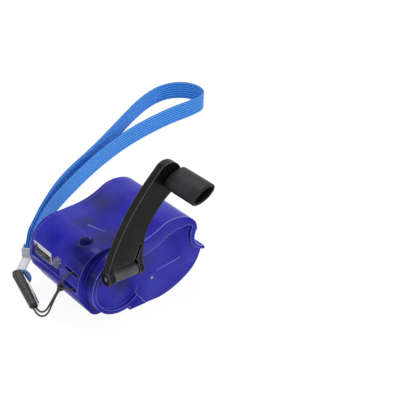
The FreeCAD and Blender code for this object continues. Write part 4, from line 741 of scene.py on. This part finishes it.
def build_clip(settings):
    """Release clip. Rounded rectangles, each a superellipse of power four, are carried along the clip
    from its rear. Their half width and half height fall evenly towards the front, a cosine of the rib
    pitch cuts the ribs, and a quarter circle rounds each end. The side towards the spring stays
    straight."""
    length, bearing = settings.clip_length, math.radians(CLIP_BEARING)
    ahead = np.array([-math.cos(bearing), -math.sin(bearing)])
    side = np.array([math.sin(bearing), -math.cos(bearing)])
    end_round, end_share, rib_depth, narrowing, lowering = 1.6 * MM, 0.45, 0.10, 0.28, 0.15
    reach = np.linspace(0, length, 220)
    share = reach / length
    ends = np.clip(np.minimum(reach, length - reach) / end_round, 0, 1)
    close = end_share + (1 - end_share) * np.sqrt(1 - (1 - ends) ** 2)
    crests = 0.5 + 0.5 * np.cos(2 * math.pi * reach / settings.clip_rib_pitch)
    ribbed = 1 - rib_depth * crests * (ends == 1)
    half_width = settings.clip_width / 2 * (1 - narrowing * share) * close
    half_height = settings.clip_height / 2 * (1 - lowering * share) * close
    out, up = (np.sign(part) * np.sqrt(np.abs(part))
               for part in (np.cos(full_turn(56)), np.sin(full_turn(56))))
    across = (settings.clip_inner - half_width)[:, None] + (half_width * ribbed)[:, None] * out
    height = half_height.max() + (half_height * ribbed)[:, None] * up
    start = MM * np.array(CLIP_REAR)
    grid = np.stack((start[0] + reach[:, None] * ahead[0] + across * side[0],
                     start[1] + reach[:, None] * ahead[1] + across * side[1], height), axis=-1)
    mesh = grid_mesh("strap_clip_ribbed", capped(grid))
    mesh.set_sharp_from_angle(angle=math.radians(60))
    add_piece("strap_clip_ribbed", mesh, ribbed_grip(settings), "case", ["strap_clip"])


def build_clip_loop(settings):
    """Short blue loop between the flat link and the clip. An oval section is carried along a parabola
    beside the clip, and its half width swells and closes as the square root of a sine."""
    share = np.linspace(0, 1, 40)
    start, middle, end = (np.array(place) * MM for place in LOOP_ROUTE)
    line = ((1 - share)[:, None] ** 2 * start + 2 * (share * (1 - share))[:, None] * middle
            + share[:, None] ** 2 * end)
    swell = np.sqrt(np.sin(math.pi * np.clip(share, 0.02, 0.98)))[:, None]
    around = full_turn(20)
    grid = (line[:, None, :]
            + level_side(line)[:, None, :] * (settings.loop_width / 2 * swell * np.cos(around))[:, :, None])
    grid[:, :, 2] += settings.loop_height / 2 * swell * np.sin(around)
    mesh = grid_mesh("clip_loop", capped(grid))
    finish = speckled("blue_loop", (0.02, 0.09, 0.38, 1), (0.06, 0.22, 0.62, 1), 700.0, 0.5, 0.00005)
    add_piece("clip_loop", mesh, finish, "case", [])


def build_dome():
    """Charge lamp. Rings about an upright axis: their radius and height follow a quarter circle from
    the crown, then the straight side down to the foot, and the foot closes in a pole."""
    low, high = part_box("charge_lamp")
    centre = (low + high) / 2
    radius = (high.x - low.x) / 2
    crown = np.linspace(0, math.pi / 2, 25)
    side = np.linspace(high.z - radius, low.z, 6)[1:]
    wide = np.concatenate((radius * np.sin(crown), np.full(len(side), radius), (0.0,)))
    level = np.concatenate((high.z - radius + radius * np.cos(crown), side, (low.z,)))
    around = full_turn(64)
    grid = np.stack((centre.x + wide[:, None] * np.cos(around), centre.y + wide[:, None] * np.sin(around),
                     np.broadcast_to(level[:, None], (len(level), len(around)))), axis=-1)
    mesh = grid_mesh("charge_lamp_dome", grid)
    mesh.set_sharp_from_angle(angle=math.radians(60))
    add_piece("charge_lamp_dome", mesh, lamp_dome(), "case", ["charge_lamp"])


def build_knob(settings):
    """Turning knob. Each ring is an oval about the axle, and the rings' half widths and places along
    the axle follow a closed profile: the back, a rounded rim, the side, the open end, the hollow, its
    floor and the bore on the axle."""
    low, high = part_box("crank_knob")
    centre = (low + high) / 2
    back, front = high.y, low.y
    floor = front + settings.knob_hollow
    back_round, front_round, lip = 1.0 * MM, 0.7 * MM, 0.3 * MM
    quarter = np.linspace(0, math.pi / 2, 7)
    rise, run = 1 - np.cos(quarter), 1 - np.sin(quarter)
    side = np.linspace(back - back_round, front + front_round, 12)[1:-1]
    hollow = np.linspace(front + lip, floor, 8)[1:]
    places = np.concatenate(([back], back - back_round * rise, side, front + front_round * run,
                             front + lip * rise, hollow, [floor]))
    inset = np.concatenate((back_round * run, np.zeros(len(side)), front_round * rise,
                            settings.knob_wall - lip * run, np.full(len(hollow), settings.knob_wall)))
    wide, tall = (np.concatenate(([settings.knob_bore], half - inset, [settings.knob_bore]))
                  for half in (settings.knob_long, settings.knob_short))
    around = full_turn(96)
    out = wide[:, None] * np.cos(around)
    up = tall[:, None] * np.sin(around)
    turn = settings.knob_tilt
    grid = np.stack((centre.x + out * math.cos(turn) - up * math.sin(turn),
                     np.broadcast_to(places[:, None], out.shape),
                     centre.z + out * math.sin(turn) + up * math.cos(turn)), axis=-1)
    mesh = grid_mesh("turning_knob", grid, closed_profile=True)
    mesh.set_sharp_from_angle(angle=math.radians(50))
    # The last value gives the knob's edges a painted highlight.
    material = satin_plastic("knob_plastic", tuple(settings.knob_colour), 0.40, 1500.0, 0.00005, 0.3)
    add_piece("turning_knob", mesh, material, "knob", ["crank_knob"])


# ---- operators

class CHARGER_OT_stage(Operator):
    """Make the camera, the lamps, the floor and the white surroundings"""
    bl_idname = "charger.stage"
    bl_label = "Stage"

    def execute(self, context):
        settings = context.scene.charger_stage
        scene = context.scene
        scene.view_settings.view_transform = "Standard"
        data = bpy.data.cameras.new("studio_camera")
        data.lens = settings.focal_length
        data.sensor_width = SENSOR_WIDTH
        data.shift_x, data.shift_y = CAMERA_SHIFT
        data.clip_start = 0.01
        scene.camera = self.aimed("studio_camera", data, CAMERA_PLACE, CAMERA_SIGHT)
        for name, place, target, width, power in LAMPS:
            light = bpy.data.lights.new(name, "AREA")
            light.shape = "DISK"
            light.size = width
            light.energy = power * settings.lamp
            self.aimed(name, light, place, Vector(target) - Vector(place))

        half = settings.floor / 2
        mesh = bpy.data.meshes.new("pale_floor")
        mesh.from_pydata([(-half, -half, 0), (half, -half, 0), (half, half, 0), (-half, half, 0)], [],
                         [(0, 1, 2, 3)])
        floor = bpy.data.objects.new("pale_floor", mesh)
        scene.collection.objects.link(floor)
        mesh.materials.append(self.floor_finish())
        self.surroundings(scene)
        return {"FINISHED"}

    @staticmethod
    def aimed(name, data, place, sight):
        """Put a camera or a lamp at a place, looking along a line."""
        thing = bpy.data.objects.new(name, data)
        bpy.context.scene.collection.objects.link(thing)
        thing.location = place
        thing.rotation_mode = "QUATERNION"
        thing.rotation_quaternion = Vector(sight).to_track_quat("-Z", "Y")
        return thing

    @staticmethod
    def seen(tree):
        """1 for the camera, in reflections and through clear pieces, 0 for light on the object."""
        path = node(tree, "ShaderNodeLightPath").outputs
        through = calc(tree, "MAXIMUM", path["Is Camera Ray"], path["Is Transmission Ray"])
        return calc(tree, "MAXIMUM", through, path["Is Glossy Ray"])

    def floor_finish(self):
        """Pale floor that keeps a soft shadow and is near white where it is seen."""
        material = bpy.data.materials.new("pale_floor")
        material.use_nodes = True
        tree = material.node_tree
        tree.nodes.remove(tree.nodes["Principled BSDF"])
        mottle = mixed(tree, noise(tree, object_place(tree), 6.0), (0.86, 0.86, 0.86, 1), (0.9, 0.9, 0.9, 1))
        matt = node(tree, "ShaderNodeBsdfDiffuse", {"Color": mottle}).outputs[0]
        white = node(tree, "ShaderNodeEmission", {"Color": (1, 1, 1, 1),
                                                  "Strength": FLOOR_STRENGTH}).outputs[0]
        share = calc(tree, "MULTIPLY", self.seen(tree), FLOOR_WHITE)
        mix = node(tree, "ShaderNodeMixShader", {0: share, 1: matt, 2: white}).outputs[0]
        tree.links.new(mix, tree.nodes["Material Output"].inputs["Surface"])
        return material

    def surroundings(self, scene):
        """White world: full where it is seen, softer as a light."""
        world = bpy.data.worlds.new("soft_studio")
        scene.world = world
        world.use_nodes = True
        tree = world.node_tree
        tree.nodes.clear()
        soft, white = (node(tree, "ShaderNodeBackground", {"Color": colour, "Strength": strength}).outputs[0]
                       for colour, strength in (((0.9, 0.93, 1.0, 1), SOFT_LIGHT), ((1, 1, 1, 1), 1.0)))
        mix = node(tree, "ShaderNodeMixShader", {0: self.seen(tree), 1: soft, 2: white}).outputs[0]
        tree.links.new(mix, node(tree, "ShaderNodeOutputWorld").inputs["Surface"])


class CHARGER_OT_cord(Operator):
    """Make the thin black cord"""
    bl_idname = "charger.cord"
    bl_label = "Cord"

    def execute(self, context):
        build_cord(context.scene.charger_strap)
        return {"FINISHED"}


class CHARGER_OT_webbing(Operator):
    """Make the wrist strap's ribbed webbing"""
    bl_idname = "charger.webbing"
    bl_label = "Wrist strap"

    def execute(self, context):
        build_webbing(context.scene.charger_strap)
        return {"FINISHED"}


class CHARGER_OT_case(Operator):
    """Round the case's edges, give it tinted plastic and make its two lamps"""
    bl_idname = "charger.case"
    bl_label = "Case"

    def execute(self, context):
        settings = context.scene.charger_case
        plastic = case_plastic(settings)
        rounded_copy("case_front", "main_housing", plastic, "case", settings.edge)
        rounded_copy("case_back", "back_cover", plastic, "case", settings.edge)
        build_dome()
        rounded_copy("nose_lamp_lens", "nose_lamp", clear_lens(), "case", 0.15 * MM)
        return {"FINISHED"}


class CHARGER_OT_crank(Operator):
    """Round the hub's and the arm's edges and make the knob"""
    bl_idname = "charger.crank"
    bl_label = "Crank"

    def execute(self, context):
        settings = context.scene.charger_crank
        # The arm's edges get a painted highlight.
        plastic = satin_plastic("crank_plastic", tuple(settings.colour), edge=0.6)
        # The hub's lighter grey is a painted highlight on the barrel.
        highlighted = satin_plastic("hub_plastic", tuple(settings.hub_colour), 0.26)
        rounded_copy("crank_hub_rounded", "crank_hub", highlighted, "crank", 0.2 * MM)
        rounded_copy("crank_arm_rounded", "crank_arm", plastic, "arm", settings.edge)
        build_knob(settings)
        return {"FINISHED"}


class CHARGER_OT_works(Operator):
    """Give the gears, the dynamo, the board and the fasteners their materials"""
    bl_idname = "charger.works"
    bl_label = "Works"

    def execute(self, context):
        steel = brushed_metal("drawn_steel", (0.60, 0.60, 0.61, 1))
        dress(["case_screws", "crank_clip", "hinge_pin", "knob_axle", "gear_axles", "plate_screws",
               "motor_screws", "board_screws", "rotor_shaft"], steel)
        dress(["gear_plate"], brushed_metal("rolled_plate", (0.66, 0.66, 0.67, 1), 0.34, (1.0, 40.0, 30.0)))
        dress(["motor_can"], brushed_metal("deep_drawn_can", (0.52, 0.52, 0.53, 1), 0.36))
        dress(["rotor_core"], brushed_metal("stacked_laminations", (0.42, 0.41, 0.40, 1), 0.42,
                                            (1.0, 60.0, 1.0), 120.0))
        dress(["rotor_pinion", "motor_bushes"], brushed_metal("turned_brass", (0.72, 0.52, 0.24, 1), 0.26))
        dress(["usb_contacts"], speckled("gilt_contacts", (0.30, 0.22, 0.10, 1), (0.62, 0.46, 0.22, 1), 900.0,
                                         0.3, 0.00001, metallic=0.8))
        dress(["usb_shell"], socket_metal())
        dress(["rotor_windings"], wound_copper())
        dress(["stator_magnets"], speckled("sintered_magnet", (0.035, 0.035, 0.038, 1), (0.11, 0.11, 0.12, 1),
                                           1500.0, 0.55))
        dress(["drive_gear", "gear_a", "gear_b", "crank_bush"],
              speckled("white_nylon", (0.76, 0.76, 0.72, 1), (0.86, 0.86, 0.83, 1), 300.0, 0.42, 0.00002))
        dress(["usb_tongue"],
              speckled("pale_liner", (0.84, 0.84, 0.85, 1), (0.93, 0.93, 0.94, 1), 500.0, 0.36, 0.00002))
        dress(["circuit_board"], circuit_finish())
        dress(["capacitor", "diodes", "regulator", "inductor", "motor_end_cap"],
              speckled("black_moulding", (0.012, 0.012, 0.013, 1), (0.035, 0.035, 0.038, 1), 900.0, 0.5))
        dress(["motor_wires"],
              speckled("red_insulation", (0.42, 0.02, 0.015, 1), (0.62, 0.05, 0.03, 1), 500.0, 0.42, 0.00002))
        return {"FINISHED"}


class CHARGER_OT_clip(Operator):
    """Make the ribbed release clip, its spring edge, the flat link and the blue loop"""
    bl_idname = "charger.clip"
    bl_label = "Clip"

    def execute(self, context):
        settings = context.scene.charger_strap
        build_clip(settings)
        rounded_copy("clip_spring_rounded", "clip_spring",
                     brushed_metal("bright_plate", (0.80, 0.80, 0.81, 1), 0.18, (1.0, 1.0, 40.0)),
                     "case", 0.12 * MM)
        rounded_copy("strap_link", "strap_crimp", link_plastic(), "case", 0.2 * MM)
        build_clip_loop(settings)
        return {"FINISHED"}


class CHARGER_PT_panel(Panel):
    """Lists the charger's settings and its pieces"""
    bl_idname = "CHARGER_PT_panel"
    bl_label = "Hand crank charger"
    bl_space_type = "VIEW_3D"
    bl_region_type = "UI"
    bl_category = "Charger"

    def draw(self, context):
        for group, kind in SETTINGS.items():
            box = self.layout.box()
            for key in kind.__annotations__:
                box.prop(getattr(context.scene, group), key)
        for operator in OPERATORS:
            self.layout.operator(operator.bl_idname)


OPERATORS = (CHARGER_OT_stage, CHARGER_OT_cord, CHARGER_OT_webbing, CHARGER_OT_case, CHARGER_OT_crank,
             CHARGER_OT_works, CHARGER_OT_clip)
CLASSES = (*SETTINGS.values(), *OPERATORS, CHARGER_PT_panel)


def register():
    for kind in CLASSES:
        bpy.utils.register_class(kind)
    for name, kind in SETTINGS.items():
        setattr(bpy.types.Scene, name, PointerProperty(type=kind))


def unregister():
    for name in SETTINGS:
        delattr(bpy.types.Scene, name)
    for kind in reversed(CLASSES):
        bpy.utils.unregister_class(kind)


def main():
    """Build every piece in order."""
    register()
    bpy.ops.charger.stage()
    bpy.ops.charger.cord()
    bpy.ops.charger.webbing()
    bpy.ops.charger.case()
    bpy.ops.charger.crank()
    bpy.ops.charger.works()
    bpy.ops.charger.clip()


if __name__ == "__main__":
    main()
